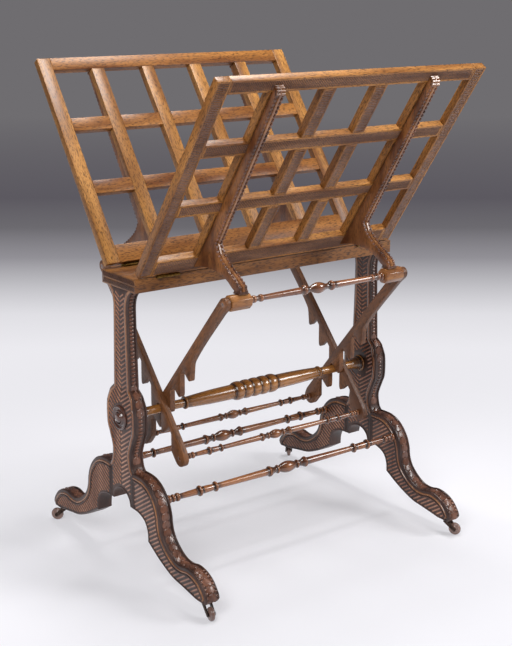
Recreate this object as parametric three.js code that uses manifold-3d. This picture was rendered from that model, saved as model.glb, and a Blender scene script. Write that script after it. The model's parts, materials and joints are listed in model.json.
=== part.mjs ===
// Folio stand: two carved end standards on castors carry a tray, and two lattice panels hinge on it.
// Each panel is propped by a toothed frame that rests on a turned ratchet bar.
// Millimetres, +Z up, X along the stand, front at -Y, origin on the floor under the middle.
import * as THREE from "three";
import { mergeVertices } from "three/addons/utils/BufferGeometryUtils.js";
import Module from "manifold-3d";

// Clearances
const GAP = 0.3; // between pieces that touch
const SLOT_SLACK = 1.5; // between the ratchet bar and the sloping back of the next tooth

// Tray
const TRAY_LENGTH = 752;
const TRAY_WIDTH = 144;
const TRAY_THICKNESS = 31;
const TRAY_TOP = 700;

// End standards
const BASE_THICKNESS = 36; // legs, foot and bulge
const SHAFT_THICKNESS = 26; // column above the bulge
const TRAY_OVERHANG = 2; // of the tray's end past the shaft
const STANDARD_SPAN = TRAY_LENGTH - SHAFT_THICKNESS - 2 * TRAY_OVERHANG; // between their middles
const FOOT_WIDTH = 100; // column between its two legs
const FOOT_BOTTOM = 160;
const LEG_TOP = 243; // top of the joint between a leg and the column
const ARCH_WIDTH = 74;
const ARCH_RISE = 33;
const WAIST_WIDTH = 74;
const WAIST_HEIGHT = 286;
const BULGE_WIDTH = 118;
const BULGE_LENGTH = 46; // straight side of the bulge
const SHOULDER_HEIGHT = 436; // where the bulge ends and the shaft begins
const SHAFT_WIDTH_LOW = 66;
const SHAFT_WIDTH_TOP = 55;
const CAP_WIDTH = 104; // flare under the tray
const CAP_HEIGHT = 48;
const COLUMN_TENON_WIDTH = 62;
const COLUMN_TENON_THICKNESS = 12;
const COLUMN_TENON_LENGTH = 18;
const LEG_TENON_LENGTH = 22;
const LEG_TENON_THICKNESS = 14;
const LEG_TENON_HEIGHT = 46;
const LEG_TENON_DROP = 10; // from the top of the joint to the top of the tenon
const LEG_REACH = 340; // from the middle of the stand to the tip of the toe
const TOE_HEIGHT = 40; // underside of the toe, where the castor sits

// Ratchet bar and its bosses
const BAR_HEIGHT = 366;
const BAR_SEAT_DIAMETER = 21; // plain ends, where the struts rest
const BAR_TENON_DIAMETER = 18;
const BAR_KNOP_DIAMETER = 46;
const BAR_KNOP_LENGTH = 126;
const BAR_KNOP_RINGS = 5;
const BAR_SWELL_DIAMETER = 38; // beside the knop
const BAR_COLLAR_FROM_STRUT = 49; // along the bar, from a front strut in to the collar
const BAR_COLLAR_DIAMETER = 31;
const BAR_COLLAR_LENGTH = 7;
const BAR_END_RING_DIAMETER = 42;
const BAR_END_RING_LENGTH = 10;
const BOSS_DIAMETER = 58;
const BOSS_PROUD = 10;
const BOSS_SPIGOT_LENGTH = 6;

// Stretchers between the legs
const STRETCHER_Y = 134;
const STRETCHER_HEIGHT = 201;
const STRETCHER_DIAMETER = 18;
const STRETCHER_TENON_DIAMETER = 12;
const STRETCHER_TENON_LENGTH = 16;

// Castors
const PINTLE_SET_IN = 22; // of the pintle from the tip of the toe
const PINTLE_Y = LEG_REACH - PINTLE_SET_IN;
const PINTLE_DIAMETER = 8;
const PINTLE_LENGTH = 20;
const CASTOR_PLATE_DIAMETER = 27;
const CASTOR_PLATE_THICKNESS = 3;
const CASTOR_NECK_DIAMETER = 14;
const CASTOR_TRAIL = 20;
const CROWN_THICKNESS = 5;
const WHEEL_DIAMETER = 31; // across the flats
const WHEEL_WIDTH = 12;
const WHEEL_TREAD = 8;
const WHEEL_SIDES = 18;
const AXLE_DIAMETER = 5;
const CHEEK_THICKNESS = 3;
const CHEEK_EYE_DIAMETER = 10;
const CASTOR_TURNS = {
  front_left: 171,
  front_right: 205,
  rear_left: 47,
  rear_right: -35,
}; // degrees, from trailing towards +Y

// Lattice panels
const PANEL_TILT = 35; // degrees outward from upright
const PANEL_SET_IN = 7; // of a panel's end from the tray's
const PANEL_LENGTH = TRAY_LENGTH - 2 * PANEL_SET_IN;
const PANEL_HEIGHT = 544;
const PANEL_THICKNESS = 18;
const STILE_WIDTH = 34;
const TOP_RAIL_WIDTH = 33;
const BOTTOM_RAIL_WIDTH = 44;
const LATTICE_BAR_WIDTH = 34;
const UPRIGHT_BARS = 4;
const END_OPENING = 103.5; // between a stile and the first upright bar
const CROSS_BARS = 2;
const TENON_LENGTH = 14;
const TENON_THICKNESS = 6;
const TENON_SHOULDER = 5; // wood left at each side of a tenon

// Butt hinges
const HINGE_LENGTH = 60;
const HINGE_SET_IN = 47; // of a hinge from the panel's end
const HINGE_X = PANEL_LENGTH / 2 - HINGE_SET_IN - HINGE_LENGTH / 2;
const LEAF_WIDTH = 13;
const LEAF_THICKNESS = 1.5;
const KNUCKLE_DIAMETER = 7;
const PIN_DIAMETER = 3;
const LEAF_GAP = 0.5; // between the two leaves when the panel is upright
const HINGE_SIDES = 10;

// Arms and yoke rods: heights and reaches are from the hinge pin, with the panel upright
const ARM_WIDTH = 22;
const ARM_TOP = 526;
const ARM_BOTTOM = 10;
const ARM_PROUD_TOP = 14;
const ARM_PROUD_KNEE = 28;
const KNEE_HEIGHT = 112;
const YOKE_REACH = 159;
const YOKE_HEIGHT = 66;
const YOKE_DIAMETER = 17;
const YOKE_TENON_DIAMETER = 14;
const BLOCK_ACROSS = 34; // across the flats of the octagon
const BLOCK_OVERHANG = 8; // of the octagon past the arm's inner side
const PLINTH_WIDTH = 24;
const PLINTH_HEIGHT = 6;
const PLINTH_EDGE = 2; // how far the plinth stands out past the arm

// Ratchet frames
const STRUT_FROM_ARM = 41; // between the middles of an arm and the front strut beside it
const STRUT_THICKNESS = 14;
const STRUT_SIDE_GAP = 1; // between front and rear struts where they cross
const EYE_DEPTH = 14; // from a strut's top edge to its pivot
const NECK_DEPTH = 25;
const SLOT_ROOT_DEPTH = 15; // wood left above a slot
const TOOTH_DEPTH = 49; // from the top edge to the tips of the teeth
const TOOTH_PITCH = 64;
const TOOTH_ROUND = 7; // rounding of the tips
const TOOTH_TIP = 3; // least width of a tip
const TEETH_ABOVE_BAR = 3;
const TEETH_BELOW_BAR = 1;
const FOOT_FROM_BAR = 130; // along a strut, from the ratchet bar to the foot rod
const FOOT_DEPTH = 22; // from the top edge to the foot rod
const FOOT_RADIUS = 20;
const FOOT_ROD_DIAMETER = 14;
const FOOT_TENON_DIAMETER = 11;

const LATHE_SIDES = 12;
const OVERRUN = 1; // how far a cut runs out past a face, or a joined piece runs in

const wasm = await Module();
wasm.setup();
const { lerp, degToRad } = THREE.MathUtils;

// Solids: three.js geometry goes in, and manifold-3d joins and cuts
function solid(geometry) {
  const bare = new THREE.BufferGeometry();
  bare.setAttribute("position", geometry.getAttribute("position"));
  bare.setIndex(geometry.index);
  const merged = mergeVertices(bare, 1e-4);
  const corners = merged.index.array;
  const kept = [];
  for (let i = 0; i < corners.length; i += 3) {
    const [a, b, c] = corners.slice(i, i + 3);
    if (a !== b && b !== c && c !== a) kept.push(a, b, c);
  }
  const vertProperties = merged.attributes.position.array;
  const triVerts = Uint32Array.from(kept);
  return new wasm.Manifold(new wasm.Mesh({ numProp: 3, vertProperties, triVerts }));
}

function geometryOf(shape) {
  const mesh = shape.getMesh();
  const made = new THREE.BufferGeometry();
  made.setAttribute("position", new THREE.BufferAttribute(mesh.vertProperties, 3));
  made.setIndex(new THREE.BufferAttribute(mesh.triVerts, 1));
  return made.toNonIndexed();
}

// A block between two places on each axis, in either order
function block([x0, x1], [y0, y1], [z0, z1]) {
  const made = new THREE.BoxGeometry(Math.abs(x1 - x0), Math.abs(y1 - y0), Math.abs(z1 - z0));
  return solid(made.translate((x0 + x1) / 2, (y0 + y1) / 2, (z0 + z1) / 2));
}

const around = (middle, width) => [middle - width / 2, middle + width / 2];

// A shape drawn in (y, z), with its thickness along X
function plateX(shape, [x0, x1], curveSegments) {
  const settings = { depth: x1 - x0, bevelEnabled: false, curveSegments };
  const made = new THREE.ExtrudeGeometry(shape, settings);
  const turn = new THREE.Matrix4();
  turn.set(0, 0, 1, x0, 1, 0, 0, 0, 0, 1, 0, 0, 0, 0, 0, 1);
  return solid(made.applyMatrix4(turn));
}

// A shape drawn in (x, z), with its thickness along Y
function plateY(shape, [y0, y1]) {
  const made = new THREE.ExtrudeGeometry(shape, { depth: y1 - y0, bevelEnabled: false });
  made.rotateX(Math.PI / 2);
  return solid(made.translate(0, y1, 0));
}

const vectors = (points) => points.map(([a, b]) => new THREE.Vector2(a, b));
const mirrored = (points) => points.map(([a, b]) => [-a, b]).reverse();

// A turned piece on the X axis, from [place, diameter] pairs
function turned(profile, sides = LATHE_SIDES) {
  const points = profile.map(([along, diameter]) => [diameter / 2, along]);
  const closed = [[0, profile[0][0]], ...points, [0, profile.at(-1)[0]]];
  const made = new THREE.LatheGeometry(vectors(closed), sides);
  return solid(made.rotateZ(-Math.PI / 2));
}

// A turned rod with both halves alike, drawn as [place, diameter] pairs from the middle outwards
function turnedRod(half) {
  return turned([...mirrored(half), ...half.slice(1)]);
}

// A turned pattern of a long bead, cups and rings, stretched to a length and a diameter
function beadedHalf(length, diameter, pattern) {
  return pattern.map(([share, swell]) => [share * length, swell * diameter]);
}

function rodX(diameter, [x0, x1], y, z, sides = LATHE_SIDES) {
  const made = new THREE.CylinderGeometry(diameter / 2, diameter / 2, x1 - x0, sides);
  made.rotateZ(Math.PI / 2);
  return solid(made.translate((x0 + x1) / 2, y, z));
}

function rodZ(diameter, [z0, z1], y) {
  const made = new THREE.CylinderGeometry(diameter / 2, diameter / 2, z1 - z0, LATHE_SIDES);
  made.rotateX(Math.PI / 2);
  return solid(made.translate(0, y, (z0 + z1) / 2));
}

// Finishes
const GOLDEN_WOOD = { color: 0x8a5528, roughness: 0.42, metalness: 0 };
const CARVED_WOOD = { color: 0x5b3a2c, roughness: 0.5, metalness: 0 };
const TURNED_WOOD = { color: 0x7a4a2a, roughness: 0.36, metalness: 0 };
const BRASS = { color: 0xa9823f, roughness: 0.35, metalness: 1 };
const IRON = { color: 0x4a4038, roughness: 0.45, metalness: 1 };
const CHINA = { color: 0xa88478, roughness: 0.3, metalness: 0 };

function node(parent, name, shape, finish) {
  const mesh = new THREE.Mesh(geometryOf(shape), new THREE.MeshStandardMaterial(finish));
  mesh.name = name;
  parent.add(mesh);
  return mesh;
}

function group(parent, x = 0, y = 0, z = 0) {
  const made = new THREE.Group();
  made.position.set(x, y, z);
  parent.add(made);
  return made;
}

// Places along X that several pieces share: the arms lie over the outer upright bars
const STILE_INSIDE = PANEL_LENGTH / 2 - STILE_WIDTH;
const ARM_X = STILE_INSIDE - END_OPENING - LATTICE_BAR_WIDTH / 2;
const STRUT_X = { front: ARM_X + STRUT_FROM_ARM };
STRUT_X.rear = STRUT_X.front + STRUT_THICKNESS + STRUT_SIDE_GAP;
const uprightAt = (i) => lerp(-ARM_X, ARM_X, i / (UPRIGHT_BARS - 1));

const stand = new THREE.Group();
const SIDES = { left: -1, right: 1 };
const ENDS = { front: -1, rear: 1 };

// Columns: the outline is drawn in (y, z), alike at the front and the rear
const TRAY_UNDERSIDE = TRAY_TOP - TRAY_THICKNESS;
const COLUMN_TOP = TRAY_UNDERSIDE - GAP;
const BASE_SPAN = around(0, BASE_THICKNESS);
const LEG_TENON_TOP = LEG_TOP - LEG_TENON_DROP;
const LEG_TENON_BOTTOM = LEG_TENON_TOP - LEG_TENON_HEIGHT;

function columnOutline() {
  const foot = FOOT_WIDTH / 2;
  const waist = WAIST_WIDTH / 2;
  const bulge = BULGE_WIDTH / 2;
  const shaft = SHAFT_WIDTH_TOP / 2;
  const bulgeTop = BAR_HEIGHT + BULGE_LENGTH / 2;
  const bulgeLow = BAR_HEIGHT - BULGE_LENGTH / 2;
  const side = [
    [lerp(foot, waist, 0.7), lerp(LEG_TOP, WAIST_HEIGHT, 0.3)],
    [waist, WAIST_HEIGHT],
    [lerp(waist, bulge, 0.6), lerp(WAIST_HEIGHT, bulgeLow, 0.6)],
    [bulge, bulgeLow],
    [bulge, bulgeTop],
    [lerp(bulge, SHAFT_WIDTH_LOW / 2, 0.4), lerp(bulgeTop, SHOULDER_HEIGHT, 0.7)],
  ];
  const flare = [shaft, COLUMN_TOP - CAP_HEIGHT / 4];
  const otherSide = mirrored(side);
  const shape = new THREE.Shape();
  shape.moveTo(foot, FOOT_BOTTOM);
  shape.lineTo(foot, LEG_TOP);
  shape.splineThru(vectors(side));
  shape.lineTo(SHAFT_WIDTH_LOW / 2, SHOULDER_HEIGHT);
  shape.lineTo(shaft, COLUMN_TOP - CAP_HEIGHT);
  shape.quadraticCurveTo(...flare, CAP_WIDTH / 2, COLUMN_TOP);
  shape.lineTo(-CAP_WIDTH / 2, COLUMN_TOP);
  shape.quadraticCurveTo(-flare[0], flare[1], -shaft, COLUMN_TOP - CAP_HEIGHT);
  shape.lineTo(-SHAFT_WIDTH_LOW / 2, SHOULDER_HEIGHT);
  shape.lineTo(...otherSide[0]);
  shape.splineThru(vectors([...otherSide.slice(1), [-foot, LEG_TOP]]));
  shape.lineTo(-foot, FOOT_BOTTOM);
  shape.lineTo(-ARCH_WIDTH / 2, FOOT_BOTTOM);
  shape.absellipse(0, FOOT_BOTTOM, ARCH_WIDTH / 2, ARCH_RISE, Math.PI, 0, true);
  shape.lineTo(foot, FOOT_BOTTOM);
  return shape;
}

// Thickness of a column by height, drawn in (x, z): the shaft is thinner than the bulge and foot
function columnThickness() {
  const edge = [
    [BASE_THICKNESS / 2, FOOT_BOTTOM - OVERRUN],
    [BASE_THICKNESS / 2, BAR_HEIGHT + BOSS_DIAMETER / 2],
    [SHAFT_THICKNESS / 2, SHOULDER_HEIGHT],
    [SHAFT_THICKNESS / 2, COLUMN_TOP + OVERRUN],
  ];
  return new THREE.Shape(vectors([...edge, ...mirrored(edge)]));
}

function column() {
  const outline = plateX(columnOutline(), BASE_SPAN, 3);
  const tenon = block(
    around(0, COLUMN_TENON_THICKNESS),
    around(0, COLUMN_TENON_WIDTH),
    [COLUMN_TOP - OVERRUN, TRAY_UNDERSIDE + COLUMN_TENON_LENGTH],
  );
  const thickness = plateY(columnThickness(), around(0, BULGE_WIDTH + FOOT_WIDTH));
  const bore = rodX(BAR_TENON_DIAMETER + 2 * GAP, around(0, 2 * BASE_THICKNESS), 0, BAR_HEIGHT);
  let made = outline.intersect(thickness).add(tenon).subtract(bore);
  for (const end of Object.values(ENDS)) {
    const mortise = block(
      around(0, LEG_TENON_THICKNESS + 2 * GAP),
      [end * (FOOT_WIDTH / 2 - LEG_TENON_LENGTH - GAP), end * (FOOT_WIDTH / 2 + OVERRUN)],
      [LEG_TENON_BOTTOM - GAP, LEG_TENON_TOP + GAP],
    );
    made = made.subtract(mortise);
  }
  return made;
}

// Legs: the outline is drawn in (y, z), reaching towards +Y, as shares of the reach and the rise
const LEG_BACK = [
  [0.138, 0.995],
  [0.248, 0.931],
  [0.331, 0.803],
  [0.37, 0.67],
  [0.384, 0.542],
  [0.421, 0.429],
  [0.5, 0.325],
  [0.586, 0.263],
  [0.672, 0.251],
  [0.752, 0.271],
  [0.838, 0.256],
  [0.914, 0.207],
  [0.969, 0.128],
  [1, 0.049],
];
const LEG_BELLY = [
  [0.683, 0.044],
  [0.555, 0.074],
  [0.421, 0.148],
  [0.331, 0.212],
  [0.214, 0.31],
];
const LEG_HAUNCH = [
  [0.207, 0.424],
  [0.169, 0.522],
  [0.09, 0.576],
];

function legOutline() {
  const joint = FOOT_WIDTH / 2 + GAP;
  const pad = CASTOR_PLATE_DIAMETER / 2 + GAP;
  const place = ([reach, rise]) => [lerp(joint, LEG_REACH, reach), lerp(TOE_HEIGHT, LEG_TOP, rise)];
  const shape = new THREE.Shape();
  shape.moveTo(joint, FOOT_BOTTOM);
  shape.lineTo(joint, LEG_TOP);
  shape.splineThru(vectors([...LEG_BACK.map(place), [PINTLE_Y + pad, TOE_HEIGHT]]));
  shape.lineTo(PINTLE_Y - pad, TOE_HEIGHT);
  shape.splineThru(vectors(LEG_BELLY.map(place)));
  shape.splineThru(vectors([...LEG_HAUNCH.map(place), [joint, FOOT_BOTTOM]]));
  return shape;
}

// The stretcher's socket is in one side of the leg only
function leg(inward) {
  const joint = FOOT_WIDTH / 2;
  const tenon = block(
    around(0, LEG_TENON_THICKNESS),
    [joint - LEG_TENON_LENGTH, joint + GAP + OVERRUN],
    [LEG_TENON_BOTTOM, LEG_TENON_TOP],
  );
  const pintleHole = [TOE_HEIGHT - OVERRUN, TOE_HEIGHT + PINTLE_LENGTH + GAP];
  const socketDepth = around((inward * BASE_THICKNESS) / 2, 2 * (STRETCHER_TENON_LENGTH + GAP));
  const socket = rodX(STRETCHER_TENON_DIAMETER + 2 * GAP, socketDepth, STRETCHER_Y, STRETCHER_HEIGHT);
  return plateX(legOutline(), BASE_SPAN, 2)
    .add(tenon)
    .subtract(rodZ(PINTLE_DIAMETER + 2 * GAP, pintleHole, PINTLE_Y))
    .subtract(socket);
}

for (const [sideName, side] of Object.entries(SIDES)) {
  const standard = group(stand, (side * STANDARD_SPAN) / 2);
  node(standard, `column_${sideName}`, column(), CARVED_WOOD);
  for (const [endName, end] of Object.entries(ENDS)) {
    const made = node(standard, `leg_${endName}_${sideName}`, leg(-side * end), CARVED_WOOD);
    if (end < 0) made.rotation.z = Math.PI;
  }
}

// Stretchers: an ovoid in the middle with cups beside it, and rings towards the legs
const INSIDE_FACE = STANDARD_SPAN / 2 - BASE_THICKNESS / 2 - GAP;
const STRETCHER_PATTERN = [
  [0, 1.55],
  [0.045, 1.4],
  [0.07, 0.9],
  [0.085, 1.15],
  [0.1, 0.8],
  [0.15, 1.4],
  [0.165, 1.05],
  [0.6, 0.75],
  [0.61, 1.3],
  [0.625, 0.8],
  [0.725, 0.95],
  [0.735, 1.35],
  [0.75, 0.9],
  [0.9, 0.7],
  [0.92, 1.1],
  [1, 1.1],
];

for (const [endName, end] of Object.entries(ENDS)) {
  const half = beadedHalf(INSIDE_FACE, STRETCHER_DIAMETER, STRETCHER_PATTERN);
  half.push([INSIDE_FACE, STRETCHER_TENON_DIAMETER]);
  half.push([INSIDE_FACE + STRETCHER_TENON_LENGTH, STRETCHER_TENON_DIAMETER]);
  const made = node(stand, `stretcher_${endName}`, turnedRod(half), TURNED_WOOD);
  made.position.set(0, end * STRETCHER_Y, STRETCHER_HEIGHT);
}

// Ratchet bar: a ringed knop, a swelling that tapers to a collar, and plain ends for the struts
function ratchetBar() {
  const knop = BAR_KNOP_LENGTH / 2;
  const ringLength = BAR_KNOP_LENGTH / BAR_KNOP_RINGS;
  const half = [[0, BAR_KNOP_DIAMETER]];
  for (let valley = ringLength / 2; valley < knop; valley += ringLength) {
    half.push([valley - ringLength / 4, BAR_KNOP_DIAMETER]);
    half.push([valley, BAR_SWELL_DIAMETER]);
    half.push([valley + ringLength / 4, BAR_KNOP_DIAMETER]);
  }
  const collarEnd = STRUT_X.front - BAR_COLLAR_FROM_STRUT;
  const collarStart = collarEnd - BAR_COLLAR_LENGTH;
  const ringStart = INSIDE_FACE - BAR_END_RING_LENGTH;
  const tenonEnd = INSIDE_FACE + GAP + BASE_THICKNESS - BOSS_SPIGOT_LENGTH - GAP;
  half.push([knop, BAR_KNOP_DIAMETER]);
  half.push([knop, BAR_SWELL_DIAMETER]);
  half.push([collarStart, lerp(BAR_SEAT_DIAMETER, BAR_COLLAR_DIAMETER, 0.6)]);
  half.push([collarStart, BAR_COLLAR_DIAMETER]);
  half.push([collarEnd, BAR_COLLAR_DIAMETER]);
  half.push([collarEnd, BAR_SEAT_DIAMETER]);
  half.push([ringStart, BAR_SEAT_DIAMETER]);
  half.push([ringStart, BAR_COLLAR_DIAMETER]);
  half.push([ringStart + BAR_END_RING_LENGTH / 2, BAR_END_RING_DIAMETER]);
  half.push([INSIDE_FACE, BAR_END_RING_DIAMETER]);
  half.push([INSIDE_FACE, BAR_TENON_DIAMETER]);
  half.push([tenonEnd, BAR_TENON_DIAMETER]);
  return turnedRod(half);
}

node(stand, "ratchet_bar", ratchetBar(), TURNED_WOOD).position.z = BAR_HEIGHT;

// Bosses: turned roundels that plug the bar's bores from outside
for (const [sideName, side] of Object.entries(SIDES)) {
  const roundel = turned([
    [-BOSS_SPIGOT_LENGTH, BAR_TENON_DIAMETER],
    [GAP, BAR_TENON_DIAMETER],
    [GAP, BOSS_DIAMETER],
    [0.4 * BOSS_PROUD, BOSS_DIAMETER],
    [0.5 * BOSS_PROUD, 0.86 * BOSS_DIAMETER],
    [0.3 * BOSS_PROUD, 0.72 * BOSS_DIAMETER],
    [0.5 * BOSS_PROUD, 0.58 * BOSS_DIAMETER],
    [0.9 * BOSS_PROUD, 0.4 * BOSS_DIAMETER],
    [BOSS_PROUD, 0.2 * BOSS_DIAMETER],
  ]);
  const made = node(stand, `boss_${sideName}`, roundel, TURNED_WOOD);
  made.position.set(side * (STANDARD_SPAN / 2 + BASE_THICKNESS / 2), 0, BAR_HEIGHT);
  if (side < 0) made.rotation.z = Math.PI;
}

// Tray: mortised for the columns from below, and recessed for the hinge leaves along both edges
const HINGE_OUT = KNUCKLE_DIAMETER / 2 + GAP; // from the pin to the tray's edge
const TRAY_EDGE = TRAY_WIDTH / 2;
let tray = block(around(0, TRAY_LENGTH), around(0, TRAY_WIDTH), [TRAY_UNDERSIDE, TRAY_TOP]);
for (const side of Object.values(SIDES)) {
  const mortise = block(
    around((side * STANDARD_SPAN) / 2, COLUMN_TENON_THICKNESS + 2 * GAP),
    around(0, COLUMN_TENON_WIDTH + 2 * GAP),
    [TRAY_UNDERSIDE - OVERRUN, TRAY_UNDERSIDE + COLUMN_TENON_LENGTH + GAP],
  );
  tray = tray.subtract(mortise);
  for (const end of Object.values(ENDS)) {
    const recess = block(
      around(side * HINGE_X, HINGE_LENGTH + 2 * GAP),
      [end * (TRAY_EDGE - LEAF_WIDTH - GAP), end * (TRAY_EDGE + OVERRUN)],
      [TRAY_TOP - LEAF_THICKNESS - GAP, TRAY_TOP + OVERRUN],
    );
    tray = tray.subtract(recess);
  }
}
node(stand, "tray", tray, GOLDEN_WOOD);

// Castors: each horn trails its wheel towards +Y before it is turned
const AXLE_HEIGHT = WHEEL_DIAMETER / 2;
const CHEEK_INSIDE = WHEEL_WIDTH / 2 + 2 * GAP;
const CHEEK_OUTSIDE = CHEEK_INSIDE + CHEEK_THICKNESS;

function castorHorn() {
  const plateTop = TOE_HEIGHT - GAP;
  const plateLow = plateTop - CASTOR_PLATE_THICKNESS;
  const crownLow = plateLow - CROWN_THICKNESS;
  const neck = CASTOR_NECK_DIAMETER / 2;
  const eye = CHEEK_EYE_DIAMETER / 2;
  const cheek = new THREE.Shape();
  cheek.moveTo(-neck, plateLow - CROWN_THICKNESS / 2);
  cheek.lineTo(-neck, crownLow);
  cheek.lineTo(CASTOR_TRAIL, AXLE_HEIGHT - eye);
  cheek.absarc(CASTOR_TRAIL, AXLE_HEIGHT, eye, -Math.PI / 2, Math.PI / 2, false);
  cheek.lineTo(neck, plateLow - CROWN_THICKNESS / 2);
  let made = rodZ(CASTOR_PLATE_DIAMETER, [plateLow, plateTop], 0);
  made = made.add(rodZ(PINTLE_DIAMETER, [plateLow, TOE_HEIGHT + PINTLE_LENGTH], 0));
  made = made.add(rodZ(CASTOR_NECK_DIAMETER, [crownLow, plateLow + OVERRUN], 0));
  const crown = [crownLow, plateLow - CROWN_THICKNESS / 2];
  made = made.add(block(around(0, 2 * CHEEK_OUTSIDE), around(0, 2 * neck), crown));
  for (const side of Object.values(SIDES)) {
    const middle = (side * (CHEEK_INSIDE + CHEEK_OUTSIDE)) / 2;
    made = made.add(plateX(cheek, around(middle, CHEEK_THICKNESS), 3));
  }
  return made.add(rodX(AXLE_DIAMETER, around(0, 2 * CHEEK_OUTSIDE), CASTOR_TRAIL, AXLE_HEIGHT));
}

function castorWheel() {
  const facet = Math.PI / WHEEL_SIDES;
  const rim = WHEEL_DIAMETER / 2 / Math.cos(facet);
  const bore = AXLE_DIAMETER / 2 + GAP;
  const face = WHEEL_WIDTH / 2;
  const tread = WHEEL_TREAD / 2;
  const edge = rim - (face - tread);
  const section = [
    [bore, -face],
    [edge, -face],
    [rim, -tread],
    [rim, tread],
    [edge, face],
    [bore, face],
    [bore, -face],
  ];
  const made = new THREE.LatheGeometry(vectors(section), WHEEL_SIDES);
  made.rotateZ(-Math.PI / 2);
  return solid(made.rotateX(facet));
}

for (const [sideName, side] of Object.entries(SIDES)) {
  for (const [endName, end] of Object.entries(ENDS)) {
    const place = `${endName}_${sideName}`;
    const castor = group(stand, (side * STANDARD_SPAN) / 2, end * PINTLE_Y);
    castor.rotation.z = degToRad(CASTOR_TURNS[place]);
    node(castor, `castor_horn_${place}`, castorHorn(), IRON);
    const wheel = node(castor, `castor_wheel_${place}`, castorWheel(), CHINA);
    wheel.position.set(0, CASTOR_TRAIL, AXLE_HEIGHT);
  }
}

// Lattice panels: drawn upright at the front, from the hinge pin, with the outer face towards -Y
const TILT = degToRad(PANEL_TILT);
const PANEL_BOTTOM = LEAF_GAP / 2;
const PANEL_TOP = PANEL_BOTTOM + PANEL_HEIGHT;
const PANEL_DEPTH = [HINGE_OUT, HINGE_OUT + PANEL_THICKNESS];
const PANEL_MIDDLE = HINGE_OUT + PANEL_THICKNESS / 2;
const OPENING_LOW = PANEL_BOTTOM + BOTTOM_RAIL_WIDTH;
const OPENING_TOP = PANEL_TOP - TOP_RAIL_WIDTH;
const OPENING = (OPENING_TOP - OPENING_LOW - CROSS_BARS * LATTICE_BAR_WIDTH) / (CROSS_BARS + 1);

const crossAt = (i) => OPENING_LOW + (i + 1) * OPENING + (i + 0.5) * LATTICE_BAR_WIDTH;
const indexes = (count) => [...Array(count).keys()];
const CROSS_SPANS = indexes(CROSS_BARS).map((i) => around(crossAt(i), LATTICE_BAR_WIDTH));
const RAIL_SPANS = [
  [PANEL_BOTTOM, OPENING_LOW],
  [OPENING_TOP, PANEL_TOP],
];

const grown = ([low, high], by) => [low - by, high + by];
const tongue = around(PANEL_MIDDLE, TENON_THICKNESS);

// A member that lies along X between the stiles, with a tenon at each end
function lyingMember(span) {
  const length = 2 * (STILE_INSIDE - GAP);
  const tenon = block(around(0, length + 2 * TENON_LENGTH), tongue, grown(span, -TENON_SHOULDER));
  return block(around(0, length), PANEL_DEPTH, span).add(tenon);
}

function stile(side) {
  const width = [side * STILE_INSIDE, (side * PANEL_LENGTH) / 2];
  let made = block(width, PANEL_DEPTH, [PANEL_BOTTOM, PANEL_TOP]);
  for (const span of [...RAIL_SPANS, ...CROSS_SPANS]) {
    const mortise = block(
      [side * (STILE_INSIDE - OVERRUN), side * (STILE_INSIDE + TENON_LENGTH)],
      grown(tongue, GAP),
      grown(span, GAP - TENON_SHOULDER),
    );
    made = made.subtract(mortise);
  }
  return made;
}

function rail(span, mortises) {
  let made = lyingMember(span);
  for (const i of indexes(UPRIGHT_BARS)) {
    const width = LATTICE_BAR_WIDTH - 2 * TENON_SHOULDER + 2 * GAP;
    made = made.subtract(block(around(uprightAt(i), width), grown(tongue, GAP), mortises));
  }
  return made;
}

// The bottom rail's lower edge is recessed for the hinge leaves
function bottomRail() {
  let made = rail(RAIL_SPANS[0], [OPENING_LOW - TENON_LENGTH, OPENING_LOW + OVERRUN]);
  for (const side of Object.values(SIDES)) {
    const recess = block(
      around(side * HINGE_X, HINGE_LENGTH + 2 * GAP),
      [HINGE_OUT - OVERRUN, HINGE_OUT + LEAF_WIDTH + GAP],
      [PANEL_BOTTOM - OVERRUN, PANEL_BOTTOM + LEAF_THICKNESS + GAP],
    );
    made = made.subtract(recess);
  }
  return made;
}

// Cross bars and upright bars are halved over each other: the uprights run through on the inner face
function crossBar(span) {
  let made = lyingMember(span);
  for (const i of indexes(UPRIGHT_BARS)) {
    const halving = block(
      grown(around(uprightAt(i), LATTICE_BAR_WIDTH), GAP),
      [PANEL_MIDDLE - GAP / 2, PANEL_DEPTH[1] + OVERRUN],
      grown(span, OVERRUN),
    );
    made = made.subtract(halving);
  }
  return made;
}

function uprightBar(i) {
  const width = around(uprightAt(i), LATTICE_BAR_WIDTH);
  const height = [OPENING_LOW + GAP, OPENING_TOP - GAP];
  const tenon = block(grown(width, -TENON_SHOULDER), tongue, grown(height, TENON_LENGTH - 2 * GAP));
  let made = block(width, PANEL_DEPTH, height).add(tenon);
  for (const span of CROSS_SPANS) {
    const halving = block(
      grown(width, OVERRUN),
      [PANEL_DEPTH[0] - OVERRUN, PANEL_MIDDLE + GAP / 2],
      grown(span, GAP),
    );
    made = made.subtract(halving);
  }
  return made;
}

// Butt hinges: drawn round the pin, which the panel's leaf holds
const MIDDLE_KNUCKLE = around(0, HINGE_LENGTH / 3);

function panelLeaf() {
  const depth = [PANEL_BOTTOM, PANEL_BOTTOM + LEAF_THICKNESS];
  return block(around(0, HINGE_LENGTH), [HINGE_OUT, HINGE_OUT + LEAF_WIDTH], depth)
    .add(block(MIDDLE_KNUCKLE, [0, HINGE_OUT + OVERRUN], depth))
    .add(rodX(KNUCKLE_DIAMETER, MIDDLE_KNUCKLE, 0, 0, HINGE_SIDES))
    .add(rodX(PIN_DIAMETER, around(0, HINGE_LENGTH), 0, 0, HINGE_SIDES));
}

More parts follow.
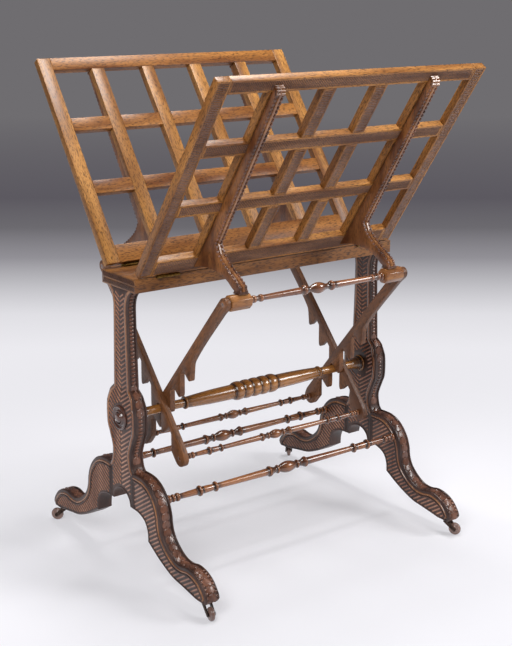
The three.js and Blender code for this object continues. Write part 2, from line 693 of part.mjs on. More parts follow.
function trayLeaf() {
  const depth = [-PANEL_BOTTOM - LEAF_THICKNESS, -PANEL_BOTTOM];
  const bore = rodX(PIN_DIAMETER + 2 * GAP, around(0, 2 * HINGE_LENGTH), 0, 0, HINGE_SIDES);
  const clear = around(0, 2 * HINGE_OUT);
  const window = block(grown(MIDDLE_KNUCKLE, GAP), clear, clear);
  return block(around(0, HINGE_LENGTH), [0, HINGE_OUT + LEAF_WIDTH], depth)
    .add(rodX(KNUCKLE_DIAMETER, around(0, HINGE_LENGTH), 0, 0, HINGE_SIDES))
    .subtract(bore)
    .subtract(window);
}

// Yoke frame: its origin is the yoke rod's axis, and it stands level when the panel is tilted
const YOKE_PLACE = [-YOKE_REACH, YOKE_HEIGHT];
const PLINTH_FOOT = BLOCK_ACROSS / 2 + GAP;
const PLINTH_HEAD = PLINTH_FOOT + PLINTH_HEIGHT;

// A point of the level yoke frame, seen from the upright panel
function fromYoke(y, z) {
  const turned = new THREE.Vector2(y, z).rotateAround(new THREE.Vector2(), -TILT);
  return [turned.x + YOKE_PLACE[0], turned.y + YOKE_PLACE[1]];
}

function armOutline() {
  const back = HINGE_OUT - GAP;
  const knee = back - ARM_PROUD_KNEE;
  const seat = PLINTH_WIDTH / 2 - PLINTH_EDGE;
  const inner = fromYoke(seat, PLINTH_HEAD - OVERRUN);
  const outer = fromYoke(-seat, PLINTH_HEAD - OVERRUN);
  const along = (share) => lerp(back, inner[0], share);
  const shape = new THREE.Shape();
  shape.moveTo(back, ARM_BOTTOM);
  const below = [along(0.17), lerp(ARM_BOTTOM, inner[1], 0.45)];
  shape.bezierCurveTo(...below, along(0.52), inner[1] + ARM_BOTTOM / 2, ...inner);
  shape.lineTo(...outer);
  shape.bezierCurveTo(outer[0], outer[1] + ARM_WIDTH, along(0.45), inner[1], knee, KNEE_HEIGHT);
  shape.lineTo(back - ARM_PROUD_TOP, ARM_TOP - ARM_PROUD_TOP);
  shape.quadraticCurveTo(back - ARM_PROUD_TOP, ARM_TOP, back, ARM_TOP);
  return shape;
}

function arm(side) {
  const width = around(side * ARM_X, ARM_WIDTH);
  const plinth = new THREE.BoxGeometry(ARM_WIDTH + 2 * PLINTH_EDGE, PLINTH_WIDTH, PLINTH_HEIGHT);
  plinth.translate(side * ARM_X, 0, (PLINTH_FOOT + PLINTH_HEAD) / 2);
  plinth.rotateX(-TILT);
  plinth.translate(0, ...YOKE_PLACE);
  return plateX(armOutline(), width, 6).add(solid(plinth));
}

// Yoke rods: a small ovoid between collars, octagonal blocks for the arms, and end tenons
const YOKE_PATTERN = [
  [0, 1.5],
  [0.08, 1.35],
  [0.125, 0.75],
  [0.18, 1.3],
  [0.22, 1.3],
  [0.24, 0.95],
  [0.8, 0.7],
  [0.84, 0.95],
  [0.88, 0.7],
  [0.94, 0.7],
  [0.97, 1.1],
];

function yokeRod(strutX) {
  const blockStart = ARM_X - ARM_WIDTH / 2 - BLOCK_OVERHANG;
  const blockEnd = strutX - STRUT_THICKNESS / 2 - GAP;
  const half = beadedHalf(blockStart, YOKE_DIAMETER, YOKE_PATTERN);
  half.push([blockStart + OVERRUN, 1.1 * YOKE_DIAMETER]);
  const corner = Math.PI / 8;
  let made = turnedRod(half);
  for (const side of Object.values(SIDES)) {
    const length = blockEnd - blockStart;
    const octagon = new THREE.CylinderGeometry(1, 1, length, 8);
    octagon.scale(BLOCK_ACROSS / 2 / Math.cos(corner), 1, BLOCK_ACROSS / 2 / Math.cos(corner));
    octagon.rotateY(corner);
    octagon.rotateZ(Math.PI / 2);
    octagon.translate(side * (blockStart + length / 2), 0, 0);
    made = made.add(solid(octagon));
  }
  const tenons = around(0, 2 * (strutX + STRUT_THICKNESS / 2));
  return made.add(rodX(YOKE_TENON_DIAMETER, tenons, 0, 0));
}

// Ratchet struts: drawn from the pivot with the top edge level, then turned down onto the bar
const BAR_DEPTH = SLOT_ROOT_DEPTH + GAP + BAR_SEAT_DIAMETER / 2;
const BAR_CLEAR = BAR_SEAT_DIAMETER / 2 + GAP;
const YOKE_WORLD = new THREE.Vector2(...YOKE_PLACE).rotateAround(new THREE.Vector2(), TILT);
YOKE_WORLD.add(new THREE.Vector2(-TRAY_EDGE - HINGE_OUT, TRAY_TOP + PANEL_BOTTOM));
const TO_BAR = new THREE.Vector2(0, BAR_HEIGHT).sub(YOKE_WORLD);
const BAR_ALONG = Math.sqrt(TO_BAR.lengthSq() - (BAR_DEPTH - EYE_DEPTH) ** 2);
const STRUT_SLOPE = -TO_BAR.angle() + 2 * Math.PI - Math.atan2(BAR_DEPTH - EYE_DEPTH, BAR_ALONG);
const FOOT_ALONG = BAR_ALONG + FOOT_FROM_BAR;

// The wall of a slot that bears on the bar, and the foot of the next tooth's upright back
const slotWall = (i) => BAR_ALONG - BAR_CLEAR + i * TOOTH_PITCH;
const BACK_ROOM = (TOOTH_PITCH - 2 * BAR_CLEAR - TOOTH_TIP) / (TOOTH_DEPTH - SLOT_ROOT_DEPTH);
const BACK_LEAN = Math.min(STRUT_SLOPE, Math.atan(BACK_ROOM));
const BACK_DROP = (BAR_DEPTH - SLOT_ROOT_DEPTH) * Math.sin(BACK_LEAN);
const BACK_REACH = (BAR_CLEAR + SLOT_SLACK - BACK_DROP) / Math.cos(BACK_LEAN);
const toothBack = (i) => BAR_ALONG + BACK_REACH + i * TOOTH_PITCH;

function strutOutline() {
  const shape = new THREE.Shape();
  const at = (along, depth) => [along, EYE_DEPTH - depth];
  const lean = (depth) => (depth - SLOT_ROOT_DEPTH) * Math.tan(BACK_LEAN);
  const backAt = (i, depth) => at(toothBack(i) + lean(depth), depth);
  const round = TOOTH_DEPTH - TOOTH_ROUND;
  const footLow = FOOT_DEPTH + FOOT_RADIUS;
  const first = 1 - TEETH_ABOVE_BAR;
  shape.moveTo(...at(0, 0));
  shape.absarc(0, 0, EYE_DEPTH, Math.PI / 2, (3 * Math.PI) / 2, false);
  shape.lineTo(...at(2 * EYE_DEPTH, NECK_DEPTH));
  shape.lineTo(...at(toothBack(first - 1), NECK_DEPTH));
  for (let i = first; i <= TEETH_BELOW_BAR; i++) {
    const wall = slotWall(i);
    const tip = (backAt(i - 1, TOOTH_DEPTH)[0] + wall) / 2;
    shape.lineTo(...backAt(i - 1, round));
    shape.quadraticCurveTo(...backAt(i - 1, TOOTH_DEPTH), ...at(tip, TOOTH_DEPTH));
    shape.quadraticCurveTo(...at(wall, TOOTH_DEPTH), ...at(wall, round));
    shape.lineTo(...at(wall, SLOT_ROOT_DEPTH));
    shape.lineTo(...at(toothBack(i), SLOT_ROOT_DEPTH));
  }
  shape.lineTo(...backAt(TEETH_BELOW_BAR, footLow));
  shape.absarc(...at(FOOT_ALONG, FOOT_DEPTH), FOOT_RADIUS, -Math.PI / 2, Math.PI / 3, false);
  shape.lineTo(...at(FOOT_ALONG - FOOT_RADIUS / 2, 0));
  return shape;
}

function strut(x) {
  const width = around(x, STRUT_THICKNESS);
  const eye = rodX(YOKE_TENON_DIAMETER + 2 * GAP, grown(width, OVERRUN), 0, 0);
  const footHole = rodX(
    FOOT_TENON_DIAMETER + 2 * GAP,
    grown(width, OVERRUN),
    FOOT_ALONG,
    EYE_DEPTH - FOOT_DEPTH,
  );
  return plateX(strutOutline(), width, 3).subtract(eye).subtract(footHole);
}

const FOOT_ROD_PATTERN = [
  [0, 1.6],
  [0.06, 1.4],
  [0.09, 0.85],
  [0.13, 1.4],
  [0.15, 1.4],
  [0.17, 0.95],
  [0.7, 0.9],
  [0.72, 1.4],
  [0.75, 0.9],
  [0.95, 1.1],
  [1, 1.1],
];

function footRod(strutX) {
  const shoulder = strutX - STRUT_THICKNESS / 2 - GAP;
  const half = beadedHalf(shoulder, FOOT_ROD_DIAMETER, FOOT_ROD_PATTERN);
  half.push([shoulder, FOOT_TENON_DIAMETER]);
  half.push([strutX + STRUT_THICKNESS / 2, FOOT_TENON_DIAMETER]);
  return turnedRod(half);
}

// Slopes: a panel with its arms and yoke rod, and the ratchet frame that props it
for (const [endName, end] of Object.entries(ENDS)) {
  const slope = group(stand);
  if (end > 0) slope.rotation.z = Math.PI;
  const hinge = group(slope, 0, -TRAY_EDGE - HINGE_OUT, TRAY_TOP + PANEL_BOTTOM);
  const panel = group(hinge);
  panel.rotation.x = TILT;
  const yoke = group(panel, 0, ...YOKE_PLACE);
  const frame = group(yoke);
  frame.rotation.x = -STRUT_SLOPE - TILT;
  const strutX = STRUT_X[endName];

  for (const side of Object.values(SIDES)) {
    const sideName = side * end < 0 ? "right" : "left";
    const tag = `${endName}_${sideName}`;
    node(panel, `stile_${tag}`, stile(side), GOLDEN_WOOD);
    node(panel, `arm_${tag}`, arm(side), CARVED_WOOD);
    node(hinge, `hinge_tray_leaf_${tag}`, trayLeaf(), BRASS).position.x = side * HINGE_X;
    node(panel, `hinge_panel_leaf_${tag}`, panelLeaf(), BRASS).position.x = side * HINGE_X;
    node(frame, `strut_${tag}`, strut(side * strutX), GOLDEN_WOOD);
  }
  const topMortises = [OPENING_TOP - OVERRUN, OPENING_TOP + TENON_LENGTH];
  node(panel, `bottom_rail_${endName}`, bottomRail(), GOLDEN_WOOD);
  node(panel, `top_rail_${endName}`, rail(RAIL_SPANS[1], topMortises), GOLDEN_WOOD);
  CROSS_SPANS.forEach((span, i) => {
    node(panel, `cross_bar_${endName}_${i + 1}`, crossBar(span), GOLDEN_WOOD);
  });
  for (const i of indexes(UPRIGHT_BARS)) {
    node(panel, `upright_bar_${endName}_${i + 1}`, uprightBar(i), GOLDEN_WOOD);
  }
  node(yoke, `yoke_rod_${endName}`, yokeRod(strutX), TURNED_WOOD).rotation.x = -TILT;
  const rod = node(frame, `foot_rod_${endName}`, footRod(strutX), TURNED_WOOD);
  rod.position.set(0, FOOT_ALONG, EYE_DEPTH - FOOT_DEPTH);
}

export default stand;
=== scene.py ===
import json
import math

import bmesh
import bpy
import numpy as np
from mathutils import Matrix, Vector
from mathutils.geometry import delaunay_2d_cdt


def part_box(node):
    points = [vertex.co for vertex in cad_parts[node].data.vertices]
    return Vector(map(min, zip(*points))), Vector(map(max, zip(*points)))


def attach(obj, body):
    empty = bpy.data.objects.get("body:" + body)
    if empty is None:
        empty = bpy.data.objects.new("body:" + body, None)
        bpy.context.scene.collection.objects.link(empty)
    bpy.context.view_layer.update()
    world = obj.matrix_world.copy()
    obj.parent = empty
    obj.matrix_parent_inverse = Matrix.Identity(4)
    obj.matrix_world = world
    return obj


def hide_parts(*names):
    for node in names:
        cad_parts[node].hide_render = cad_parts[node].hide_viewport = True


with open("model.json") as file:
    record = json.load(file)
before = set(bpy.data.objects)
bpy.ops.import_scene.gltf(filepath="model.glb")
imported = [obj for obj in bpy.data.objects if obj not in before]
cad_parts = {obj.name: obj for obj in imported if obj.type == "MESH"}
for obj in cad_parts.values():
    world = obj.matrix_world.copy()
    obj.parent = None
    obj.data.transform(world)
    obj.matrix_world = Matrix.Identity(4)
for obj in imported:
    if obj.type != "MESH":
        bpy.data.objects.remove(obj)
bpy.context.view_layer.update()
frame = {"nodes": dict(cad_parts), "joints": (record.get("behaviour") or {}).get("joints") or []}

# Columns
# Each end standard has an upright board of dark hardwood, sawn to a waisted outline and thinned
# above the bulge. It is tenoned up into the tray, and its arrises are eased with a scraper.
MM = 0.001
TINY = 1e-6
LENGTHWISE = (1.0, 0.0, 0.0)
SIDES = {"left": -1, "right": 1}
ENDS = {"front": -1, "rear": 1}
ARRIS = 1.2 * MM
CURVE_STEP = 4 * MM
CORNER = math.radians(38)
SHARP = math.radians(28)
SQUARE_ON = 0.9
SAME_THICKNESS = 0.01 * MM


def tone(code):
    """A colour as it looks on screen, in the linear values that a shader takes."""
    shares = [int(code[i:i + 2], 16) / 255 for i in (1, 3, 5)]
    linear = [c / 12.92 if c <= 0.04045 else ((c + 0.055) / 1.055) ** 2.4 for c in shares]
    return (*linear, 1.0)


def fed(tree, node, *in_order, **by_name):
    """A node with its inputs set to values, or linked to the outputs that feed them."""
    inputs = list(zip(node.inputs, in_order))
    inputs += [(node.inputs[label.replace("_", " ")], given) for label, given in by_name.items()]
    for socket, given in inputs:
        if isinstance(given, bpy.types.NodeSocket):
            tree.links.new(given, socket)
        else:
            socket.default_value = given
    return node


def shading(tree, kind, *in_order, **by_name):
    """A new shader node with its inputs fed."""
    return fed(tree, tree.nodes.new(f"ShaderNode{kind}"), *in_order, **by_name)


def new_finish(name):
    """A new material, with its node tree and its shader."""
    material = bpy.data.materials.new(name)
    material.use_nodes = True
    return material, material.node_tree, material.node_tree.nodes["Principled BSDF"]


def tone_ramp(tree, value, tones):
    """The colour that a value picks from a ramp of tones, each at its place."""
    ramp = shading(tree, "ValToRGB", Fac=value)
    stops = ramp.color_ramp.elements
    while len(stops) < len(tones):
        stops.new(0.5)
    for stop, (place, code) in zip(stops, tones.items()):
        stop.position = place
        stop.color = tone(code)
    return ramp.outputs["Color"]


def stained(tree, colour, code, share):
    """A colour stained with a tone, by a share from another node."""
    stain = tree.nodes.new("ShaderNodeMix")
    stain.data_type = "RGBA"
    return fed(tree, stain, A=colour, B=tone(code), Factor=share).outputs["Result"]


def wood(
    name, dark, pale, fleck, along=(0, 0, 1),
    gloss=0.36, fleck_share=0.5, coat=0.25, fleck_size=1.0, sheen=0.5,
):
    """Polished hardwood: slow figure along the grain, short dark flecks and open pores."""
    material, tree, shader = new_finish(name)
    level = Vector(along).rotation_difference(Vector(LENGTHWISE)).to_euler()
    place = shading(tree, "TexCoord").outputs["Object"]
    laid = shading(tree, "Mapping", Vector=place, Rotation=level).outputs["Vector"]

    def grain(length, width, detail):
        scale = (1 / length, 1 / width, 1 / width)
        stretched = shading(tree, "Mapping", Vector=laid, Scale=scale).outputs["Vector"]
        return shading(tree, "TexNoise", Vector=stretched, Scale=1.0, Detail=detail).outputs["Fac"]

    figure = grain(length=0.22, width=0.03, detail=6)
    pores = grain(length=0.011 * fleck_size, width=0.0024 * fleck_size, detail=3)
    figured = tone_ramp(tree, figure, {0.34: dark, 0.66: pale})
    flecks = shading(tree, "MapRange", Value=pores, From_Min=0.5, From_Max=0.63, To_Max=fleck_share)
    wear = shading(tree, "MapRange", Value=figure, To_Min=gloss - 0.1, To_Max=gloss + 0.14)
    relief = shading(tree, "Bump", Height=pores, Strength=0.25, Distance=0.4 * MM)
    relief.invert = True
    colour = stained(tree, figured, fleck, flecks.outputs["Result"])
    fed(tree, shader, Base_Color=colour, Specular_IOR_Level=sheen, Coat_Weight=coat, Coat_Roughness=0.22)
    fed(tree, shader, Roughness=wear.outputs["Result"], Normal=relief.outputs["Normal"])
    return material


def placed(name, data):
    """A new object in the scene."""
    made = bpy.data.objects.new(name, data)
    bpy.context.scene.collection.objects.link(made)
    return made


def piece(mesh, finishes, body, slot, *stood_for):
    """A finished piece, which rides on a body and may stand for CAD nodes."""
    mesh.materials.clear()
    for finish in finishes:
        mesh.materials.append(finish)
    made = placed(mesh.name, mesh)
    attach(made, body)
    if stood_for:
        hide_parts(*stood_for)


def finished(shape, name, sharp=SHARP):
    """A mesh from a bmesh, with its curves shaded smooth."""
    mesh = bpy.data.meshes.new(name)
    shape.to_mesh(mesh)
    shape.free()
    mesh.shade_smooth()
    mesh.set_sharp_from_angle(angle=sharp)
    return mesh


def outline_of(node):
    """A sawn board's outline, clockwise seen from +X, and its half thickness by height."""
    mesh = frame["nodes"][node].data
    low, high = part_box(node)
    middle = (low.x + high.x) / 2
    onward = {}
    for polygon in mesh.polygons:
        if polygon.normal.x < SQUARE_ON:
            continue
        corners = [tuple(round(c, 6) for c in mesh.vertices[i].co) for i in polygon.vertices]
        for a, b in zip(corners, corners[1:] + corners[:1]):
            if a in onward.get(b, ()):
                onward[b].remove(a)
            else:
                onward.setdefault(a, []).append(b)
    loops = []
    while any(onward.values()):
        start = next(a for a, after in onward.items() if after)
        loop = [start]
        while onward.get(loop[-1]):
            loop.append(onward[loop[-1]].pop())
        loops.append(loop[:-1])
    longest = max(loops, key=lambda loop: sum(math.dist(a, b) for a, b in zip(loop, loop[1:])))
    heights = sorted((z, x - middle) for x, y, z in longest)
    flat = [Vector((y, z)) for x, y, z in reversed(longest)]
    return flat, middle, lambda z: float(np.interp(z, *zip(*heights)))


def refined(loop):
    """The outline with a smooth curve between its corners, in short steps."""
    count = len(loop)
    fine = []

    def tangent(a, b, c, chord):
        is_corner = (b - a).angle(c - b, 0) > CORNER
        return chord if is_corner else (c - a) / ((b - a).length + (c - b).length)

    for i in range(count):
        before, here, after, later = (loop[(i + k) % count] for k in (-1, 0, 1, 2))
        span = (after - here).length
        if span < TINY:
            continue
        chord = (after - here) / span
        leave = tangent(before, here, after, chord) * span
        arrive = tangent(here, after, later, chord) * span
        steps = max(1, math.ceil(span / CURVE_STEP))
        for t in (k / steps for k in range(steps)):
            blend = t * t * (3 - 2 * t)
            curve = here.lerp(after, blend)
            fine.append(curve + leave * t * (1 - t) ** 2 - arrive * t * t * (1 - t))
    return fine


def set_in(path, by, closed=False):
    """A path moved in from the edge of a board, which lies on the right of its travel."""
    count = len(path)
    moved = []
    for i, p in enumerate(path):
        before = path[i - 1] if closed or i else p
        after = path[(i + 1) % count] if closed or i + 1 < count else p
        way = after - before
        moved.append(p + Vector((way.y, -way.x)).normalized() * by)
    return moved


def board(name, loop, middle, half, levels=(), ease=ARRIS):
    """A sawn board from its outline: two broad faces, rounded arrises and the edge between them."""
    count = len(loop)
    rounding = [(0, 1), (0.29, 0.29), (1, 0)]
    rims = [set_in(loop, ease * inward, closed=True) for inward, _ in rounding]
    shape = bmesh.new()
    rings = []
    for side in (1, -1):
        for rim, (_, back) in zip(rims, rounding):
            spots = [(middle + side * (half(q.y) - ease * back), *p) for p, q in zip(rim, loop)]
            rings.append([shape.verts.new(spot) for spot in spots])
    rings = rings[2::-1] + rings[3:]
    for near, far in zip(rings, rings[1:]):
        for k in range(count):
            shape.faces.new((near[k], near[k - 1], far[k - 1], far[k]))
    border = [(k, (k + 1) % count) for k in range(count)]
    ties = []
    for level in levels:
        sides = [[k for k in range(count) if loop[k].x * way > 0] for way in (-1, 1)]
        ties.append(tuple(min(side, key=lambda k: abs(loop[k].y - level)) for side in sides))
    inside_only = 1
    nearness = 0.1 * TINY
    _, _, tiles, sources, _, _ = delaunay_2d_cdt(loop, border + ties, [], inside_only, nearness)
    for ring in (rings[0], rings[-1]):
        for tile in tiles:
            shape.faces.new([ring[sources[k][0]] for k in tile])
    bmesh.ops.recalc_face_normals(shape, faces=shape.faces[:])
    return finished(shape, name)


dark_hardwood = wood("dark_hardwood", "#301c15", "#503328", "#1c0f0a", gloss=0.4, coat=0.1)
boards = {}
for side in SIDES:
    node = f"column_{side}"
    raw, middle, half = outline_of(node)
    boards[node] = (refined(raw), middle, half)
    halves = [half(p.y) for p in raw]
    thick_to = max(p.y for p in raw if half(p.y) > max(halves) - SAME_THICKNESS)
    thin_from = min(p.y for p in raw if half(p.y) < min(halves) + SAME_THICKNESS)
    mesh = board(f"{node}_sawn", *boards[node], levels=(thick_to, thin_from))
    piece(mesh, [dark_hardwood], "stand", "carved_wood", node)

# Legs
# Four scroll legs of the same wood, sawn from board as thick as the foot of the column and
# tenoned into it, so that the joint shows as an upright line beside the arch.
LEGS = [f"leg_{end}_{side}" for side in SIDES for end in ENDS]
for node in LEGS:
    raw, middle, half = outline_of(node)
    boards[node] = (refined(raw), middle, half)
    piece(board(f"{node}_sawn", *boards[node]), [dark_hardwood], "stand", "carved_wood", node)

# Chip carving on the standards
# The broad faces are cut with a V tool: chevrons up the columns and slanting cuts on the legs.
# The arrises between the cuts are rubbed pale on the outer faces; on the inner ones they are darker, a
# painted shade for the shadow inside the stand.
CUT_PITCH = 9 * MM
CUT_SLOPE = math.radians(32)
CUT_RADIUS = 2.4 * MM
CUT_SUNK = 1.3 * MM
SAMPLE_STEP = 1.5 * MM
LEAST_SAMPLES = 2
RIDGE_GAP = 0.8 * MM
BOSS_ROOM = 1.15
COLUMN_BORDER = 10.5 * MM
LEG_BORDER = 6 * MM
LEG_MOULDING_ROOM = 15 * MM
HEIGHT_FIRST = 9
HEIGHT_LAST = 0.01


def guided_tree(name, **inputs):
    """A node tree that carves along guide lines, with its named inputs and its output."""
    tree = bpy.data.node_groups.new(name, "GeometryNodeTree")
    for label, kind in {"Guides": "Geometry", **inputs}.items():
        tree.interface.new_socket(label, in_out="INPUT", socket_type=f"NodeSocket{kind}")
    tree.interface.new_socket("Carving", in_out="OUTPUT", socket_type="NodeSocketGeometry")
    given = tree.nodes.new("NodeGroupInput").outputs
    lines = fed(tree, tree.nodes.new("GeometryNodeMeshToCurve"), Mesh=given["Guides"])
    whole = tree.nodes.new("GeometryNodeRealizeInstances")
    coloured = tree.nodes.new("GeometryNodeSetMaterial")
    fed(tree, coloured, Geometry=whole.outputs["Geometry"], Material=given["Finish"])
    fed(tree, tree.nodes.new("NodeGroupOutput"), Carving=coloured.outputs["Geometry"])
    return tree, given, lines.outputs["Curve"], whole.inputs["Geometry"]


def reed_tree():
    """Half-round reeds: a round section swept along every guide line."""
    tree, given, curve, made = guided_tree("carved_reeds", Radius="Float", Sides="Int", Finish="Material")
    section = tree.nodes.new("GeometryNodeCurvePrimitiveCircle")
    fed(tree, section, Radius=given["Radius"], Resolution=given["Sides"])
    reeds = tree.nodes.new("GeometryNodeCurveToMesh")
    fed(tree, reeds, Curve=curve, Profile_Curve=section.outputs["Curve"], Fill_Caps=True)
    tree.links.new(reeds.outputs["Mesh"], made)
    return tree


def carving(name, tree, lines, sharp=SHARP, **settings):
    """The mesh that a tree carves along lines of points."""
    guide_mesh = bpy.data.meshes.new(name)
    points = [p for line in lines for p in line]
    edges = []
    start = 0
    for line in lines:
        edges += [(start + i, start + i + 1) for i in range(len(line) - 1)]
        start += len(line)
    guide_mesh.from_pydata(points, edges, [])
    guide = placed(name, guide_mesh)
    modifier = guide.modifiers.new("carving", "NODES")
    modifier.node_group = tree
    sockets = {s.name: s.identifier for s in tree.interface.items_tree if s.in_out == "INPUT"}
    for label, value in settings.items():
        modifier[sockets[label]] = value
    ready = guide.evaluated_get(bpy.context.evaluated_depsgraph_get())
    mesh = bpy.data.meshes.new_from_object(ready)
    bpy.data.objects.remove(guide)
    bpy.data.meshes.remove(guide_mesh)
    shape = bmesh.new()
    shape.from_mesh(mesh)
    bpy.data.meshes.remove(mesh)
    bmesh.ops.recalc_face_normals(shape, faces=shape.faces[:])
    return finished(shape, name, sharp)


def hatched(loop, border, way, kept):
    """Straight cuts across a face, sloping one way or the other, that stop short of its edges."""
    slope = CUT_SLOPE if way > 0 else math.pi - CUT_SLOPE
    edge = np.array([tuple(p) for p in loop])
    side = np.roll(edge, -1, axis=0) - edge
    along = np.array((math.cos(slope), math.sin(slope)))
    across = np.array((-along[1], along[0]))
    runs = np.arange((edge @ along).min(), (edge @ along).max(), SAMPLE_STEP)
    cuts = []
    first, last = (math.ceil(f(edge @ across) / CUT_PITCH) for f in (np.min, np.max))
    for offset in range(first, last):
        spots = runs[:, None] * along + offset * CUT_PITCH * across
        from_edge = spots[:, None] - edge
        above = from_edge[..., 1] < 0
        crosses = above != np.roll(above, -1, axis=1)
        rise = np.where(side[:, 1] == 0, 1e-9, side[:, 1])
        meets = from_edge[..., 0] < from_edge[..., 1] * side[:, 0] / rise
        inside = (crosses & meets).sum(axis=1) % 2 == 1
        share = np.clip((from_edge * side).sum(axis=2) / (side**2).sum(axis=1), 0, 1)
        gaps = np.linalg.norm(from_edge - share[..., None] * side, axis=2).min(axis=1)
        clear = inside & (gaps > border) & kept(*spots.T)
        turns = np.flatnonzero(np.diff(np.concatenate(([0], clear.astype(int), [0]))))
        for a, b in zip(turns[::2], turns[1::2]):
            if b - a > LEAST_SAMPLES:
                cuts.append([Vector(spots[a]), Vector(spots[b - 1])])
    return cuts


def on_faces(lines, middle, half, sunk=0.0):
    """Lines of an outline's plane, laid on both broad faces of its board or sunk a little in them."""
    return [[(middle + s * (half(p.y) - sunk), *p) for p in line] for s in (1, -1) for line in lines]


def stretch_of(loop, start, stop):
    """The part of a closed outline from the point nearest one place to that nearest another."""
    first, last = (min(range(len(loop)), key=lambda i: (loop[i] - p).length) for p in (start, stop))
    if last < first:
        last += len(loop)
    return [loop[i % len(loop)] for i in range(first, last + 1)]


def chip_carved(name, cuts, middle, half):
    """Cuts on both faces of a board, with painted shade on the side that looks into the stand."""
    lines = on_faces(cuts, middle, half, CUT_SUNK)
    mesh = carving(name, REEDS, lines, Radius=CUT_RADIUS, Sides=8, Finish=cut_arris)
    # Reeds on the face that looks into the stand take the second finish, a painted shade.
    for polygon in mesh.polygons:
        polygon.material_index = int((polygon.center.x - middle) * middle < 0)
    piece(mesh, [cut_arris, cut_shade], "stand", "carved_wood")


REEDS = reed_tree()
cut_arris = wood("cut_arris", "#8d5a43", "#bf8b6f", "#573628", gloss=0.3)
# A dark tone for cuts: painted shade on the inner faces of the standards, and the plain dark colour of the
# foot reeds and the tray's end cuts.
cut_shade = wood("cut_shade", "#36221c", "#543b33", "#20120e", gloss=0.3)
leg_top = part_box("leg_front_left")[1].z
bar_height = sum(c.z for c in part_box("ratchet_bar")) / 2
boss_clear = BOSS_ROOM * (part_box("boss_left")[1].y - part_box("boss_left")[0].y) / 2
edges_of = {}
feet_of = {}
for side in SIDES:
    node = f"column_{side}"
    loop, middle, half = boards[node]
    cuts = []
    for way in (1, -1):
        def clear_of_boss(y, z, way=way):
            return (y * way > RIDGE_GAP) & (np.hypot(y, z - bar_height) > boss_clear)

        cuts += hatched(loop, COLUMN_BORDER, way, clear_of_boss)
    chip_carved(f"{node}_chevrons", [[a, a.lerp(b, 0.5), b] for a, b in cuts], middle, half)
    halves = [[p for p in loop if p.x * way > 0] for way in (-1, 1)]
    seams = [min(points, key=lambda p: abs(p.y - leg_top)) for points in halves]
    caps = [max(points, key=lambda p: HEIGHT_FIRST * p.y + abs(p.x)) for points in halves]
    edges_of[node] = [stretch_of(loop, seams[0], caps[0]), stretch_of(loop, caps[1], seams[1])]
    feet_of[node] = stretch_of(loop, seams[1], seams[0])
for node in LEGS:
    loop, middle, half = boards[node]
    way = 1 if "rear" in node else -1
    seam = min(loop, key=lambda p: round(abs(p.x), 4) - HEIGHT_LAST * p.y)
    toe = max(loop, key=lambda p: abs(p.x) - HEIGHT_FIRST * p.y)
    ends = (seam, toe) if way > 0 else (toe, seam)
    edges_of[node] = [stretch_of(loop, *ends)]
    feet_of[node] = stretch_of(loop, *reversed(ends))
    back = np.array([tuple(p) for p in edges_of[node][0]])

    def clear_of_mouldings(y, z, back=back):
        gaps = np.hypot(y[:, None] - back[:, 0], z[:, None] - back[:, 1])
        return gaps.min(axis=1) > LEG_MOULDING_ROOM

    chip_carved(f"{node}_cuts", hatched(loop, LEG_BORDER, way, clear_of_mouldings), middle, half)

# Mouldings and carved edges of the standards
# Rubbed reeds run inside the edges of the faces. The edges hold a row of gadroons up the column,
# with leaves at the shoulders and down the back of each leg, and a beaded toe.
COLUMN_MOULDING = (5.6 * MM, 5.4 * MM, 3.8 * MM)
LEG_MOULDING = (2.6 * MM, 8 * MM, 0.6 * MM)
FOOT_REED = 2.2 * MM
FOOT_REED_IN = 2.4 * MM
FOOT_REED_SUNK = 0.8 * MM
LEG_FILLET_IN = 13 * MM
EDGE_ROLL = 2.6 * MM
EDGE_ROLL_IN = 2.8 * MM
GADROON_PITCH = 8.5 * MM
LEAF_PITCH = 17 * MM
LEAF_SHARP = math.radians(50)
TOE_BEAD_PITCH = 8.5 * MM
TOE_LENGTH = 52 * MM
TOE_ROW = 12 * MM
SHOULDER_LEAVES = (388 * MM, 442 * MM)
FOOT_LEAVES = (240 * MM, 272 * MM)
PLAIN_EDGES = [(FOOT_LEAVES[1], SHOULDER_LEAVES[0]), (SHOULDER_LEAVES[1], math.inf)]


def row_tree():
    """A row of one carved unit, set along every guide line at even spacing."""
    tree, given, curve, made = guided_tree(
        "carved_row", Spacing="Float", Unit="Object", Side="Vector", Finish="Material"
    )
    points = tree.nodes.new("GeometryNodeCurveToPoints")
    points.mode = "LENGTH"
    fed(tree, points, Curve=curve, Length=given["Spacing"])
    unit = fed(tree, tree.nodes.new("GeometryNodeObjectInfo"), Object=given["Unit"])
    turn = tree.nodes.new("FunctionNodeAxesToRotation")
    turn.primary_axis = "Y"
    turn.secondary_axis = "X"
    fed(tree, turn, Primary_Axis=points.outputs["Tangent"], Secondary_Axis=given["Side"])
    copies = tree.nodes.new("GeometryNodeInstanceOnPoints")
    fed(tree, copies, Points=points.outputs["Points"], Instance=unit.outputs["Geometry"])
    fed(tree, copies, Rotation=turn.outputs["Rotation"])
    tree.links.new(copies.outputs["Instances"], made)
    return tree


def bead_unit(name, across, along, high):
    """A rounded bead with few faces, half of it sunk in the wood, as a pattern for rows."""
    shape = bmesh.new()
    bmesh.ops.create_uvsphere(shape, u_segments=8, v_segments=6, radius=1)
    bmesh.ops.scale(shape, vec=(across, along, high), verts=shape.verts[:])
    return placed(name, finished(shape, name))


def skinned(shape, rings):
    """Faces from each ring of corners to the next, with both ends closed."""
    for near, far in zip(rings, rings[1:]):
        for k in range(len(near)):
            after = (k + 1) % len(near)
            shape.faces.new((near[k], near[after], far[after], far[k]))
    shape.faces.new(rings[0])
    shape.faces.new(rings[-1])


